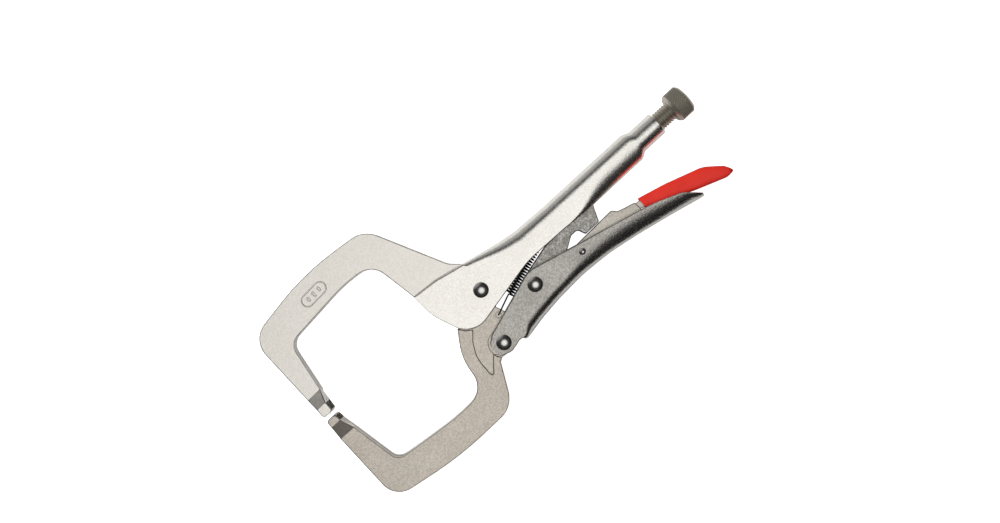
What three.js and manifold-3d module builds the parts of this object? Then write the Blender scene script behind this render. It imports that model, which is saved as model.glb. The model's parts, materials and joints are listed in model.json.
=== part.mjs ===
// Locking C-clamp pliers: two forged C jaws on a pair of folded sheet-steel handles, closed by an over-centre
// toggle link that bears on an adjusting screw. Millimetres. The pliers lie flat: +X runs from the jaw tips to
// the screw knob, +Y towards the fixed jaw, +Z through the thickness. The origin is on the clamping face of
// the fixed jaw.
import * as THREE from "three";
import { mergeVertices } from "three/addons/utils/BufferGeometryUtils.js";
import { ParametricGeometry } from "three/addons/geometries/ParametricGeometry.js";
import Module from "manifold-3d";

// ---- driving dimensions ----
const THROAT_DEPTH = 83.5; // clamping faces to the front edge of the fixed handle
const THROAT_RISE = 48.8; // clamping faces up to the inside of the upper limb
const THROAT_DROP = 50.6; // clamping faces down to the inside of the lower limb
const UPPER_LIMB = 20.2; // width of the upper limb
const LOWER_LIMB = 18.8; // width of the lower limb
const FRONT_LIMB = 13.4; // width of the limbs that carry the tips, at mid height
const TIP_WIDTH = 7.0;
const TIP_GAP = 2.05; // opening left between the clamping faces when the toggle is locked
const TIP_LENGTH = 14.2;
const TIP_THICKNESS = 7.4;
const JAW_THICKNESS = 10.8;
const TONGUE_THICKNESS = 9.8; // both jaws, where they run between the cheeks
const WEB_THICKNESS = 8.8; // thinned pocket of the moving jaw
const SHEET = 2.1; // wall of the folded handles
const HANDLE_LENGTH = 126; // jaw pivot to the shoulder of the screw barrel
const TUBE_HEIGHT = 18.9; // height of the fixed handle along its grip
const BARREL_LENGTH = 15;
const BARREL_WALL = 1.35; // round the screw thread
const SCREW_THREAD = 11.5; // major diameter
const SCREW_PITCH = 1.75;
const THREAD_DEPTH = 0.9;
const SCREW_SHANK = 9.4;
const SCREW_SHOWN = 10.8; // thread between barrel and knob
const KNOB_DIAMETER = 18.6;
const KNOB_LENGTH = 11.4;
const RIVET_SHANK = 5.6;
const RIVET_HEAD = 9.1;
const RIVET_DOME = 1.6; // height of the main rivet heads
const LEVER_RIVET_SHANK = 2.8;
const LEVER_RIVET_HEAD = 4.3;
const LEVER_RIVET_DOME = 1.0;
const LINK_THICKNESS = 7.0;
const LEVER_THICKNESS = 4.4;
const GRIP_WALL = 1.1; // dipped sleeve on the release lever
const LEVER_TAIL = 98; // lever pivot to the end of the sleeve
const LINK_REACH = 60; // link pivot to the centre of the link's nose
const RING_WIDTH = 1.2; // snap ring on the screw
const WIRE = 0.9;
const COIL_DIAMETER = 5.4; // to the middle of the wire
const COIL_PITCH = 1.7;
const COIL_TURNS = 19;

// ---- clearances ----
const SIDE_CLEARANCE = 0.3; // each side of a plate between cheeks
const EDGE_CLEARANCE = 0.4; // between edges in one plane
const PIN_CLEARANCE = 0.3; // radial, round a rivet shank
const SEAT = 0.05; // under a rivet head
const SEAM = 2.4; // between the folded edges of the fixed handle near its barrel
const SLEEVE_CLEARANCE = 0.3;
const THREAD_CLEARANCE = 0.2;
const TOGGLE_CLEARANCE = 2.7; // link nose to screw tip, the pivot that is left open

// ---- derived sizes ----
const INNER_HALF = TONGUE_THICKNESS / 2 + SIDE_CLEARANCE;
const OUTER_HALF = INNER_HALF + SHEET;
const P1 = [THROAT_DEPTH + 31.3, -6.8]; // jaw pivot
const P2 = [P1[0] - 10.8, P1[1] - 31.2]; // moving jaw to lower handle
const P3 = [P1[0] + 25.2, P1[1] - 18.8]; // lower handle to toggle link
const P5 = [P3[0] + 32.9, P3[1] - 4.8]; // release lever
const SHOULDER_X = P1[0] + HANDLE_LENGTH;
const BARREL_END = SHOULDER_X + BARREL_LENGTH;
const BARREL_RADIUS = SCREW_THREAD / 2 + THREAD_CLEARANCE + BARREL_WALL;
const SCREW_Y = P1[1] + 1.9;
const KNOB_X = BARREL_END + SCREW_SHOWN;
const NOSE_RADIUS = 4.2; // round end of the toggle link
const P4 = [P3[0] + LINK_REACH, SCREW_Y - 0.3]; // centre of the link nose, on the screw axis within 0.3
const SCREW_TIP_X = P4[0] + NOSE_RADIUS + TOGGLE_CLEARANCE;
const HUB_RADIUS = 11; // moving jaw round its pivot
const BOSS_RADIUS = 8.7; // moving jaw round the handle pivot
const EAR_RADIUS = 7.2; // lower handle round the handle pivot
const SPRING_EYE = [P1[0] - 2.5, -24.4]; // hole in the moving jaw that the spring hooks into
const SPRING_EYE_RADIUS = 1.5;
const SPRING_TAB = [P1[0] + 48.5, -7.7]; // hole in the tab of the fixed handle
const SPRING_TAB_RADIUS = 1.5;
const RING_X = SCREW_TIP_X + 9; // near side of the snap ring
const RING_RADIUS = INNER_HALF - 0.1;
const GROOVE_RADIUS = SCREW_SHANK / 2 - 0.9;
const THREAD_START = RING_X + RING_WIDTH + 10.7;
const SPINE_START = P2[0] + 10.4; // where the underside of the lower handle closes
const LOWER_END = P1[0] + HANDLE_LENGTH * 1.051; // tail of the lower handle

const wasm = await Module();
wasm.setup();

// ---- solids ----

// A three.js geometry as a manifold solid, with shared vertices merged and collapsed triangles dropped.
function toSolid(geometry) {
  const bare = geometry.clone();
  bare.deleteAttribute("normal");
  bare.deleteAttribute("uv");
  const merged = mergeVertices(bare, 1e-4);
  const index = merged.index.array;
  const kept = [];
  for (let i = 0; i < index.length; i += 3) {
    const [a, b, c] = [index[i], index[i + 1], index[i + 2]];
    if (a !== b && b !== c && c !== a) kept.push(a, b, c);
  }
  return new wasm.Manifold(
    new wasm.Mesh({
      numProp: 3,
      vertProperties: merged.attributes.position.array,
      triVerts: new Uint32Array(kept),
    }),
  );
}

function toMesh(name, solid, [color, roughness, metalness]) {
  const made = solid.getMesh();
  const geometry = new THREE.BufferGeometry();
  geometry.setAttribute("position", new THREE.BufferAttribute(made.vertProperties, made.numProp));
  geometry.setIndex(new THREE.BufferAttribute(made.triVerts, 1));
  geometry.computeVertexNormals();
  const material = new THREE.MeshStandardMaterial({ color, roughness, metalness });
  const mesh = new THREE.Mesh(geometry, material);
  mesh.name = name;
  return mesh;
}

const joined = (solids) => solids.reduce((sum, next) => sum.add(next));

// Points along the arc that rounds corner p between its neighbours, limited by the shorter side.
function arcAt(before, p, after, radius) {
  const a = before.clone().sub(p);
  const b = after.clone().sub(p);
  const room = 0.499 * Math.min(a.length(), b.length());
  a.normalize();
  b.normalize();
  const half = Math.acos(THREE.MathUtils.clamp(a.dot(b), -1, 1)) / 2;
  const reach = Math.min(radius / Math.tan(half), room);
  const r = reach * Math.tan(half);
  const towards = a.clone().add(b).normalize();
  const centre = p.clone().addScaledVector(towards, r / Math.sin(half));
  const turn = Math.PI - 2 * half;
  const steps = Math.max(2, Math.ceil(turn / Math.max(0.2, 2 * Math.acos(1 - 0.04 / Math.max(r, 0.1)))));
  const start = p.clone().addScaledVector(a, reach).sub(centre);
  const sign = Math.sign(a.cross(b)) * -1;
  return Array.from({ length: steps + 1 }, (_, i) =>
    start.clone().rotateAround(new THREE.Vector2(), (sign * turn * i) / steps).add(centre),
  );
}

// A closed outline from corners [x, y, radius]; a corner with no radius stays sharp.
function outline(corners) {
  const points = corners.map(([x, y]) => new THREE.Vector2(x, y));
  return points.flatMap((p, i) => {
    const radius = corners[i][2] ?? 0;
    const before = points.at(i - 1);
    const after = points[(i + 1) % points.length];
    return radius > 0 ? arcAt(before, p, after, radius) : [p];
  });
}

// A plate of the given outline between two heights.
function plate(points, low, high) {
  const geometry = new THREE.ExtrudeGeometry(new THREE.Shape(points), {
    depth: high - low,
    bevelEnabled: false,
  });
  return toSolid(geometry.translate(0, 0, low));
}

const slab = (corners, thickness) => plate(outline(corners), -thickness / 2, thickness / 2);

// A round pin along Z.
function disc([x, y], radius, low, high, sides = 32) {
  const geometry = new THREE.CylinderGeometry(radius, radius, high - low, sides);
  geometry.rotateX(Math.PI / 2).translate(x, y, (low + high) / 2);
  return toSolid(geometry);
}

// A round bar along X on the screw axis.
function barX(radius, from, to, sides = 32) {
  const geometry = new THREE.CylinderGeometry(radius, radius, to - from, sides);
  geometry.rotateZ(-Math.PI / 2).translate((from + to) / 2, SCREW_Y, 0);
  return toSolid(geometry);
}

// Value at x of a smooth line through [x, y] points.
function lineThrough(points) {
  const curve = new THREE.SplineCurve(points.map(([x, y]) => new THREE.Vector2(x, y)));
  const fine = curve.getPoints(240);
  return (x) => {
    const i = THREE.MathUtils.clamp(fine.findIndex((p) => p.x >= x), 1, fine.length - 1);
    const [a, b] = [fine[i - 1], fine[i]];
    return THREE.MathUtils.mapLinear(THREE.MathUtils.clamp(x, a.x, b.x), a.x, b.x, a.y, b.y);
  };
}

// A bar along X whose cross-section is a rounded rectangle: section(x) gives its top, bottom, half width and
// the radii of its top and bottom corners. The stations close on a point at each end.
function loft(stations, section) {
  const perCorner = 5;
  const around = 4 * perCorner;
  const ends = stations.length + 1;
  const ring = (i, x) => {
    const { top, bottom, half, topRadius, bottomRadius } = section(x);
    const corner = Math.floor(i / perCorner) % 4;
    const angle = ((corner + (i % perCorner) / (perCorner - 1)) * Math.PI) / 2;
    const upper = corner < 2;
    const radius = upper ? topRadius : bottomRadius;
    const y = upper ? top - radius : bottom + radius;
    const z = (corner === 0 || corner === 3 ? 1 : -1) * (half - radius);
    return [y + radius * Math.sin(angle), z + radius * Math.cos(angle)];
  };
  const surface = (u, v, target) => {
    const row = Math.round(v * ends);
    const x = stations[THREE.MathUtils.clamp(row - 1, 0, stations.length - 1)];
    const [y, z] = ring(Math.round((1 - u) * around) % around, x);
    const { top, bottom } = section(x);
    if (row === 0 || row === ends) target.set(x, (top + bottom) / 2, 0);
    else target.set(x, y, z);
  };
  return toSolid(new ParametricGeometry(surface, around, ends));
}

const spread = (from, to, count) =>
  Array.from({ length: count + 1 }, (_, i) => THREE.MathUtils.lerp(from, to, i / count));

// Smooth step between two values over a stretch of x.
const ease = (x, from, to, low, high) => THREE.MathUtils.lerp(low, high, THREE.MathUtils.smoothstep(x, from, to));

// ---- fixed handle ----

// Ridge line of the folded sheet, from the nose to the shoulder of the barrel.
const ridge = lineThrough([
  [THROAT_DEPTH - 6, 17.4],
  [THROAT_DEPTH, 16.8],
  [P1[0] - 14.8, 15.4],
  [P1[0] - 1, 12.5],
  [P1[0] + 10, 10.2],
  [P1[0] + 25, 7.0],
  [P1[0] + 37, 5.2],
  [P1[0] + 59, 4.4],
  [SHOULDER_X - 6, 4.2],
]);
const HANDLE_BOTTOM = SCREW_Y + 9.1 - TUBE_HEIGHT;

function handleSection(inset) {
  const toBarrel = [SHOULDER_X - 6, SHOULDER_X];
  return (x) => {
    const half = ease(x, ...toBarrel, OUTER_HALF, BARREL_RADIUS) - inset;
    const top = ease(x, ...toBarrel, ridge(Math.min(x, SHOULDER_X - 6)), SCREW_Y + BARREL_RADIUS) - inset;
    const low = ease(x, P1[0] + 60, P1[0] + 78, HANDLE_BOTTOM - 18, HANDLE_BOTTOM);
    const bottom = ease(x, ...toBarrel, low, SCREW_Y - BARREL_RADIUS) + inset;
    const rolled = ease(x, P1[0] + 62, P1[0] + 100, 0.4, half);
    return {
      top,
      bottom,
      half,
      topRadius: Math.max(ease(x, P1[0] - 5, P1[0] + 35, 3.4 - inset, half), 0.8),
      bottomRadius: Math.min(rolled, (top - bottom) / 2),
    };
  };
}

// Side view of the fixed handle: a lobe round the jaw pivot, then the grip.
const handleSide = () => [
  [THROAT_DEPTH - 0.5, 18.5],
  [THROAT_DEPTH + 0.5, 0.5, 30],
  [P1[0] - 21.3, -23.7, 15],
  [P1[0] + 31.5, -13.0, 50],
  [P1[0] + 61, -13.6],
  [P1[0] + 76, HANDLE_BOTTOM - 0.3],
  [BARREL_END + 5, HANDLE_BOTTOM - 0.3],
  [BARREL_END + 5, 18.5],
];

function fixedHandle() {
  const stations = [
    ...spread(THROAT_DEPTH - 3, P1[0] + 55, 18),
    ...spread(P1[0] + 60, P1[0] + 100, 7),
    ...spread(SHOULDER_X - 6, SHOULDER_X, 4),
    BARREL_END,
  ];
  const cavityEnd = SHOULDER_X - 15;
  const cavity = stations.filter((x) => x < cavityEnd);
  const shell = loft(stations, handleSection(0))
    .subtract(loft([THROAT_DEPTH - 9, ...cavity, cavityEnd], handleSection(SHEET)))
    .intersect(slab(handleSide(), 2 * OUTER_HALF + 2));
  // The folded edges stand apart for the link, then close to a narrow seam towards the barrel.
  const mouth = (end, width) =>
    slab(
      [
        [THROAT_DEPTH - 9, HANDLE_BOTTOM - 10],
        [end, HANDLE_BOTTOM - 10],
        [end, HANDLE_BOTTOM + SHEET + 2],
        [THROAT_DEPTH - 9, HANDLE_BOTTOM + SHEET + 2],
      ],
      width,
    );
  const jawSlot = slab(
    [
      [THROAT_DEPTH - 9, 30],
      [THROAT_DEPTH - 9, 6],
      [P1[0] + 2.6, 6],
      [P1[0] + 2.6, 30],
    ],
    2 * INNER_HALF,
  );
  // The return spring hooks on a tab that hangs from the ridge at mid thickness.
  const tab = slab(
    [
      [SPRING_TAB[0] - 2.6, ridge(SPRING_TAB[0]) - SHEET / 2],
      [SPRING_TAB[0] - 2.6, SPRING_TAB[1] - 2.6, 2.4],
      [SPRING_TAB[0] + 2.6, SPRING_TAB[1] - 2.6, 2.4],
      [SPRING_TAB[0] + 2.6, ridge(SPRING_TAB[0]) - SHEET / 2],
    ],
    SHEET,
  );
  return shell
    .subtract(mouth(P4[0] + 8, LINK_THICKNESS + 1.6))
    .subtract(mouth(cavityEnd - 4, SEAM))
    .subtract(jawSlot)
    .add(tab)
    .subtract(disc(SPRING_TAB, SPRING_TAB_RADIUS, -SHEET, SHEET, 16))
    .subtract(disc(P1, RIVET_SHANK / 2 + PIN_CLEARANCE, -20, 20))
    .subtract(barX(SCREW_THREAD / 2 + THREAD_CLEARANCE, cavityEnd - 1, BARREL_END + 1));
}

// ---- jaws ----

// Wedge that grinds one side of a tip from full thickness down to the tip's own, mirrored by side.
function tipGrind(direction, faceY, side) {
  const [near, far] = [faceY, faceY + direction * TIP_LENGTH];
  const shoulder = faceY + direction * (TIP_LENGTH * 0.44);
  const profile = [
    [near - direction * 5, TIP_THICKNESS / 2],
    [shoulder, TIP_THICKNESS / 2],
    [far, JAW_THICKNESS / 2],
    [far, JAW_THICKNESS],
    [near - direction * 5, JAW_THICKNESS],
  ].map(([y, z]) => new THREE.Vector2(y, side * z));
  if (THREE.ShapeUtils.area(profile) < 0) profile.reverse();
  const geometry = new THREE.ExtrudeGeometry(new THREE.Shape(profile), { depth: 40, bevelEnabled: false });
  // The profile's axes (x, y, z) become (y, z, x).
  geometry.applyMatrix4(new THREE.Matrix4().set(0, 0, 1, -20, 1, 0, 0, 0, 0, 1, 0, 0, 0, 0, 0, 1));
  return toSolid(geometry);
}

function groundTip(jaw, direction, faceY) {
  return jaw.subtract(tipGrind(direction, faceY, 1)).subtract(tipGrind(direction, faceY, -1));
}

const TIP_LEFT = -TIP_WIDTH / 2 + 0.4;
const TIP_RIGHT = TIP_WIDTH / 2 + 0.4;

function fixedJaw() {
  const inside = THROAT_DEPTH - 5.3;
  const top = THROAT_RISE + UPPER_LIMB;
  const arm = [
    [TIP_LEFT, 0, 2.4],
    [TIP_RIGHT, 0, 2.4],
    [TIP_RIGHT + 0.6, TIP_LENGTH * 0.44],
    [TIP_LEFT + FRONT_LIMB - 2.7, TIP_LENGTH],
    [TIP_LEFT + FRONT_LIMB + 2.5, THROAT_RISE - 3.8, 8],
    [THROAT_DEPTH * 0.7, THROAT_RISE + 0.5, 120],
    [inside, THROAT_RISE - 1.9, 12],
    [THROAT_DEPTH, 15.0],
    [THROAT_DEPTH + 0.8, 4],
    [P1[0], 4],
    [P1[0] + 6, 8.6],
    [P1[0] + 3.2, 11.4],
    [P1[0] - 3.8, 17.4, 12],
    [P1[0] - 26.6, 65.3 + top - 69, 16],
    [THROAT_DEPTH * 0.54, top + 0.9, 160],
    [TIP_LEFT + 0.6, top - 7.1, 14],
    [TIP_LEFT + 0.6, TIP_LENGTH],
  ];
  const underRidge = spread(THROAT_DEPTH - 3, P1[0] + 10, 16).map(
    (x) => new THREE.Vector2(x, ridge(x) + EDGE_CLEARANCE),
  );
  const handleZone = plate(
    [
      new THREE.Vector2(THROAT_DEPTH - 3, 10),
      new THREE.Vector2(THROAT_DEPTH - 3, -10),
      new THREE.Vector2(P1[0] + 10, -10),
      ...underRidge.reverse(),
    ],
    -JAW_THICKNESS,
    JAW_THICKNESS,
  );
  const frontOfHandle = THROAT_DEPTH + 1.2;
  const tang = [
    [frontOfHandle, 17],
    [frontOfHandle + 2.8, -6.5],
    [P1[0] - 26.2, -11.4],
    [P1[0] - 8.0, 3.2],
    [P1[0], 4],
    [P1[0] + 2.2, 5.6],
    [P1[0] + 2.2, ridge(P1[0] + 2.2) + 0.6],
    [P1[0] - 4, 17],
  ];
  const jaw = slab(arm, JAW_THICKNESS)
    .subtract(handleZone)
    .add(slab(tang, TONGUE_THICKNESS))
    .subtract(disc(P1, HUB_RADIUS + 1.2, -20, 20, 48));
  return groundTip(jaw, 1, 0);
}

// Everything of the moving jaw that lies between cheeks, from the front edge of the fixed handle back.
const tongueZone = () => [
  [THROAT_DEPTH - 5, 12],
  [THROAT_DEPTH + 4.6 - EDGE_CLEARANCE, -10.6],
  [THROAT_DEPTH + 6.2 - EDGE_CLEARANCE, -14.0 - EDGE_CLEARANCE, 6],
  [P1[0] - 18.6, -20.0, 2],
  [P1[0] - 24.4, -25.4, 12],
  [P2[0] - 17.9, P2[1] + 3.5, 20],
  [P2[0] - 18.5, P2[1] - 9.0],
  [P2[0] - 17.6, P2[1] - 10.4, 0.8],
  [P2[0] - 7.2, P2[1] + 0.4],
  [P2[0] - 3, P2[1] - 12],
  [P1[0] + 16, P2[1] - 12],
  [P1[0] + 16, 12],
];

function movingJaw() {
  const faceY = -TIP_GAP;
  const inside = THROAT_DEPTH - 6.6;
  const bottom = -(THROAT_DROP + LOWER_LIMB);
  const body = [
    [TIP_RIGHT - 0.7, faceY, 2.4],
    [TIP_LEFT - 0.2, faceY, 2.4],
    [TIP_LEFT - 0.4, faceY - TIP_LENGTH],
    [TIP_LEFT - 0.5, bottom + 7.2, 13],
    [THROAT_DEPTH * 0.5, bottom - 0.4, 250],
    [THROAT_DEPTH - 1.2, bottom + 0.4, 15],
    [P2[0] - 8.6, P2[1] - 6.1, 3.5],
    [P2[0], P2[1] - 6.6, 5],
    [P2[0] + 9.4, P2[1] - 5.0, 6],
    [P1[0] + 1.4, -24.9],
    [P1[0] - 0.6, -19.9],
    [P1[0] + 5.6, -16.2],
    [P1[0], P1[1]],
    [P1[0] - 7.0, 1.8],
    [P1[0] - 24.1, -11.8],
    [P1[0] - 25.4, -13.4],
    [THROAT_DEPTH - 4.0, -28.3, 40],
    [inside, -THROAT_DROP + 0.3, 14],
    [THROAT_DEPTH * 0.66, -THROAT_DROP - 0.6, 120],
    [TIP_LEFT + FRONT_LIMB + 2.6, -THROAT_DROP + 4.0, 7],
    [TIP_LEFT + FRONT_LIMB - 3.2, faceY - TIP_LENGTH],
    [TIP_RIGHT - 0.5, faceY - TIP_LENGTH * 0.44],
  ];
  const zone = plate(outline(tongueZone().reverse()), -JAW_THICKNESS, JAW_THICKNESS);
  const handleShade = [[0, 0], [-1, 0], [0, -1], [-0.7, -0.7]].map(([x, y]) =>
    plate(outline(handleSide()), -JAW_THICKNESS, JAW_THICKNESS).translate([
      x * EDGE_CLEARANCE,
      y * EDGE_CLEARANCE,
      0,
    ]),
  );
  const outside = slab(body, JAW_THICKNESS)
    .subtract(zone)
    .subtract(joined(handleShade))
    .subtract(disc(P2, BOSS_RADIUS, -20, 20, 40));
  const between = slab(body, TONGUE_THICKNESS).add(
    disc(P1, HUB_RADIUS, -TONGUE_THICKNESS / 2, TONGUE_THICKNESS / 2, 48),
  );
  const pocket = outline([
    [P1[0] - 18.3, -22.4, 2],
    [P1[0] - 24.0, -26.2, 12],
    [P2[0] - 17.6, P2[1] + 3.5, 20],
    [P2[0] - 18.0, P2[1] - 8.6],
    [P2[0] - 17.3, P2[1] - 9.7, 0.8],
    [P2[0] - 6, P2[1] + 2],
    [P2[0] + 4, P2[1] + 12],
  ]);
  const sink = [1, -1].map((side) => {
    const [low, high] = [WEB_THICKNESS / 2, JAW_THICKNESS].map((z) => z * side).sort((a, b) => a - b);
    return plate(pocket, low, high).subtract(disc(P2, BOSS_RADIUS, -20, 20, 40));
  });
  const jaw = outside
    .add(between)
    .subtract(joined(sink))
    .subtract(disc(P1, RIVET_SHANK / 2 + PIN_CLEARANCE, -20, 20))
    .subtract(disc(P2, RIVET_SHANK / 2 + PIN_CLEARANCE, -20, 20))
    .subtract(disc(SPRING_EYE, SPRING_EYE_RADIUS, -20, 20, 20));
  return groundTip(jaw, -1, faceY);
}

// ---- lower handle ----

// Underside of the lower handle: how far along the spine, and how far below the handle pivot.
const belly = lineThrough(
  [
    [-0.05, 8.1],
    [0.042, 7.2],
    [0.117, 5.3],
    [0.23, 3.5],
    [0.381, 2.5],
    [0.532, 3.9],
    [0.682, 7.4],
    [0.833, 11.6],
    [1.015, 17.3],
  ].map(([share, drop]) => [THREE.MathUtils.lerp(SPINE_START, LOWER_END, share), P2[1] - drop]),
);

function lowerSection(inset) {
  return (x) => ({
    top: -8 - inset,
    bottom: ease(x, SPINE_START - 0.4, SPINE_START + 2.2, P2[1] - 14, belly(x)) + inset,
    half: OUTER_HALF - inset,
    topRadius: 0.4,
    bottomRadius: Math.max(
      ease(x, SPINE_START - 0.4, SPINE_START + 8, 1, ease(x, LOWER_END - 45, LOWER_END - 10, OUTER_HALF, 5.4)) - inset,
      0.8,
    ),
  });
}

function lowerHandle() {
  const side = [
    [P2[0] - EAR_RADIUS, P2[1] + EAR_RADIUS * 0.6, 6],
    [P2[0] - 2.0, P2[1] + EAR_RADIUS + 0.8, 6],
    [P3[0] + 2.0, P3[1] + 8.4, 14],
    [LOWER_END - 25.2, P2[1] + 0.7, 60],
    [LOWER_END - 8.8, P2[1] - 5.7, 10],
    [LOWER_END, P2[1] - 13.5, 1],
    [LOWER_END, P2[1] - 30],
    [SPINE_START + 4.5, P2[1] - 30],
    [SPINE_START + 4.5, P2[1] - 7.5],
    [SPINE_START + 0.2, P2[1] - 7.8, 2],
    [SPINE_START - 0.8, P2[1] - 5.3, 1.5],
    [P2[0] + 7.2, P2[1] - 5.2, 4],
    [P2[0], P2[1] - EAR_RADIUS + 0.2, 5],
    [P2[0] - EAR_RADIUS, P2[1] - EAR_RADIUS * 0.7, 6],
  ];
  const stations = [
    P2[0] - 12,
    SPINE_START - 0.4,
    ...spread(SPINE_START + 0.6, SPINE_START + 8, 5),
    ...spread(SPINE_START + 14, LOWER_END + 1, 18),
  ];
  const inner = [P2[0] - 16, ...stations.slice(1, -1), LOWER_END + 4];
  const channel = loft(inner, lowerSection(SHEET)).add(
    plate(
      outline([
        [P2[0] - 16, -20 + P2[1]],
        [SPINE_START - 1, -20 + P2[1]],
        [SPINE_START - 1, P2[1] + 6],
        [LOWER_END + 6, P2[1] + 6],
        [LOWER_END + 6, 0],
        [P2[0] - 16, 0],
      ]),
      -INNER_HALF,
      INNER_HALF,
    ),
  );
  return loft(stations, lowerSection(0))
    .subtract(channel)
    .intersect(slab(side, 2 * OUTER_HALF + 2))
    .subtract(disc(P2, RIVET_SHANK / 2 + PIN_CLEARANCE, -20, 20))
    .subtract(disc(P3, RIVET_SHANK / 2 + PIN_CLEARANCE, -20, 20))
    .subtract(disc(P5, LEVER_RIVET_SHANK / 2 + PIN_CLEARANCE, -20, 20, 24));
}

// ---- toggle link and release lever ----

function toggleLink() {
  const heel = P5[0] + 8.6;
  const side = [
    [P3[0] - 7.6, P3[1] + 4, 7],
    [P3[0] + 2, P3[1] + 8.2, 6],
    [P3[0] + 17.5, P3[1] + 12.0, 12],
    [P3[0] + 34, P3[1] + 14.6, 20],
    [P4[0] - 6, P4[1] + NOSE_RADIUS, 8],
    [P4[0] + NOSE_RADIUS, P4[1] + NOSE_RADIUS, NOSE_RADIUS],
    [P4[0] + NOSE_RADIUS, P4[1] - NOSE_RADIUS, NOSE_RADIUS],
    [P4[0] - 4, P4[1] - 9.6, 4],
    [heel + 10.4, P5[1] + 6.2, 1],
    [heel, P5[1] + 6.2, 0.8],
    [P5[0] + 6.6, P5[1] + 11.2, 2.6],
    [P5[0] + 1.6, P5[1] + 11.2, 2.6],
    [P5[0] - 4.5, P5[1] + 7.4, 3],
    [P3[0] + 10, P3[1] - 6, 8],
    [P3[0] - 6, P3[1] - 7.4, 7],
  ];
  return slab(side, LINK_THICKNESS).subtract(disc(P3, RIVET_SHANK / 2 + PIN_CLEARANCE, -20, 20));
}

// Outline of the lever's tail, grown by a margin: the bare plate, its sleeve and the sleeve's hollow.
const SLEEVE_START = P5[0] + 44.8;
const SLEEVE_END = P5[0] + LEVER_TAIL;
const tail = (start, margin) => [
  [start, P5[1] - 5.2 - margin - (start - SLEEVE_START) * 0.26],
  [start, P5[1] - 0.4 + margin - (start - SLEEVE_START) * 0.26],
  [SLEEVE_START + 17, P5[1] - 4.8 + margin, 60],
  [SLEEVE_END - 13, P5[1] - 12.4 + margin, 14],
  [SLEEVE_END - 5 + margin, P5[1] - 20 + margin, 5],
  [SLEEVE_END - 2 + margin, P5[1] - 24.4, 1.4],
  [SLEEVE_END - 5, P5[1] - 24.4 - margin, 1.4],
  [SLEEVE_START + 30, P5[1] - 17.9 - margin, 60],
];

function releaseLever() {
  const front = [
    [P5[0] - 4.8, P5[1] - 4.8, 4.7],
    [SLEEVE_START + 2, P5[1] - 5.7],
    [SLEEVE_START + 2, P5[1] - 0.9],
    [P5[0] + 35.6, P5[1] + 2.1, 8],
    [P5[0] + 31.4, P5[1] + 3.4, 1],
    [P5[0] + 28.5, P5[1] + 6.2, 0.8],
    [P5[0] + 8, P5[1] + 5.6],
    [P5[0] - 4.8, P5[1] + 5.2, 4.7],
  ];
  return slab(front, LEVER_THICKNESS)
    .add(slab(tail(SLEEVE_START + 1, 0), LEVER_THICKNESS))
    .subtract(disc(P5, LEVER_RIVET_SHANK / 2 + PIN_CLEARANCE, -20, 20, 24));
}

function leverSleeve() {
  const hollow = SLEEVE_CLEARANCE;
  const outside = slab(tail(SLEEVE_START, GRIP_WALL + hollow), LEVER_THICKNESS + 2 * (GRIP_WALL + hollow));
  const inside = slab(tail(SLEEVE_START - 3, hollow), LEVER_THICKNESS + 2 * hollow);
  return outside.subtract(inside);
}

// ---- screw ----

// Helical thread: the radius follows a triangle wave along x that moves one pitch per turn.
function threadX(from, to) {
  const steps = Math.round(((to - from) / SCREW_PITCH) * 4);
  const around = 10;
  const surface = (u, v, target) => {
    const row = Math.round(v * (steps + 2));
    const x = from + ((to - from) * THREE.MathUtils.clamp(row - 1, 0, steps)) / steps;
    const turns = (x - from) / SCREW_PITCH - u;
    const wave = 2 * Math.abs(turns - Math.floor(turns) - 0.5);
    const radius = row === 0 || row === steps + 2 ? 0 : SCREW_THREAD / 2 - THREAD_DEPTH * (1 - wave);
    target.set(x, SCREW_Y + radius * Math.cos(2 * Math.PI * u), radius * Math.sin(2 * Math.PI * u));
  };
  return toSolid(new ParametricGeometry(surface, around, steps + 2));
}

function adjustingScrew() {
  const axis = (points) => points.map(([along, radius]) => new THREE.Vector2(radius, along));
  const shank = SCREW_SHANK / 2;
  const rim = KNOB_DIAMETER / 2;
  const end = KNOB_X + KNOB_LENGTH;
  const core = SCREW_THREAD / 2 - THREAD_DEPTH - 0.2;
  const turned = new THREE.LatheGeometry(
    axis([
      [SCREW_TIP_X, 0],
      [SCREW_TIP_X, shank - 1.2],
      [SCREW_TIP_X + 1.2, shank],
      [RING_X - 0.2, shank],
      [RING_X - 0.2, GROOVE_RADIUS],
      [RING_X + RING_WIDTH + 0.2, GROOVE_RADIUS],
      [RING_X + RING_WIDTH + 0.2, shank],
      [THREAD_START + 0.5, shank],
      [THREAD_START + 0.5, core],
      [KNOB_X, core],
      [KNOB_X, rim - 1.6],
      [KNOB_X + 1.2, rim],
      [end - 1.2, rim],
      [end, rim - 1.4],
      [end, 0],
    ]),
    32,
  );
  turned.rotateZ(-Math.PI / 2).translate(0, SCREW_Y, 0);
  return toSolid(turned).add(threadX(THREAD_START, KNOB_X + 0.4));
}

// Open snap ring in the screw's groove: it meets the barrel's inner thread before the screw can be wound out.
function retainingRing() {
  const gap = slab(
    [
      [RING_X - 1, SCREW_Y - 9],
      [RING_X + RING_WIDTH + 1, SCREW_Y - 9],
      [RING_X + RING_WIDTH + 1, SCREW_Y - 1],
      [RING_X - 1, SCREW_Y - 1],
    ],
    3,
  );
  return barX(RING_RADIUS, RING_X, RING_X + RING_WIDTH)
    .subtract(barX(GROOVE_RADIUS + 0.3, RING_X - 1, RING_X + RING_WIDTH + 1))
    .subtract(gap);
}

// ---- rivets ----

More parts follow.
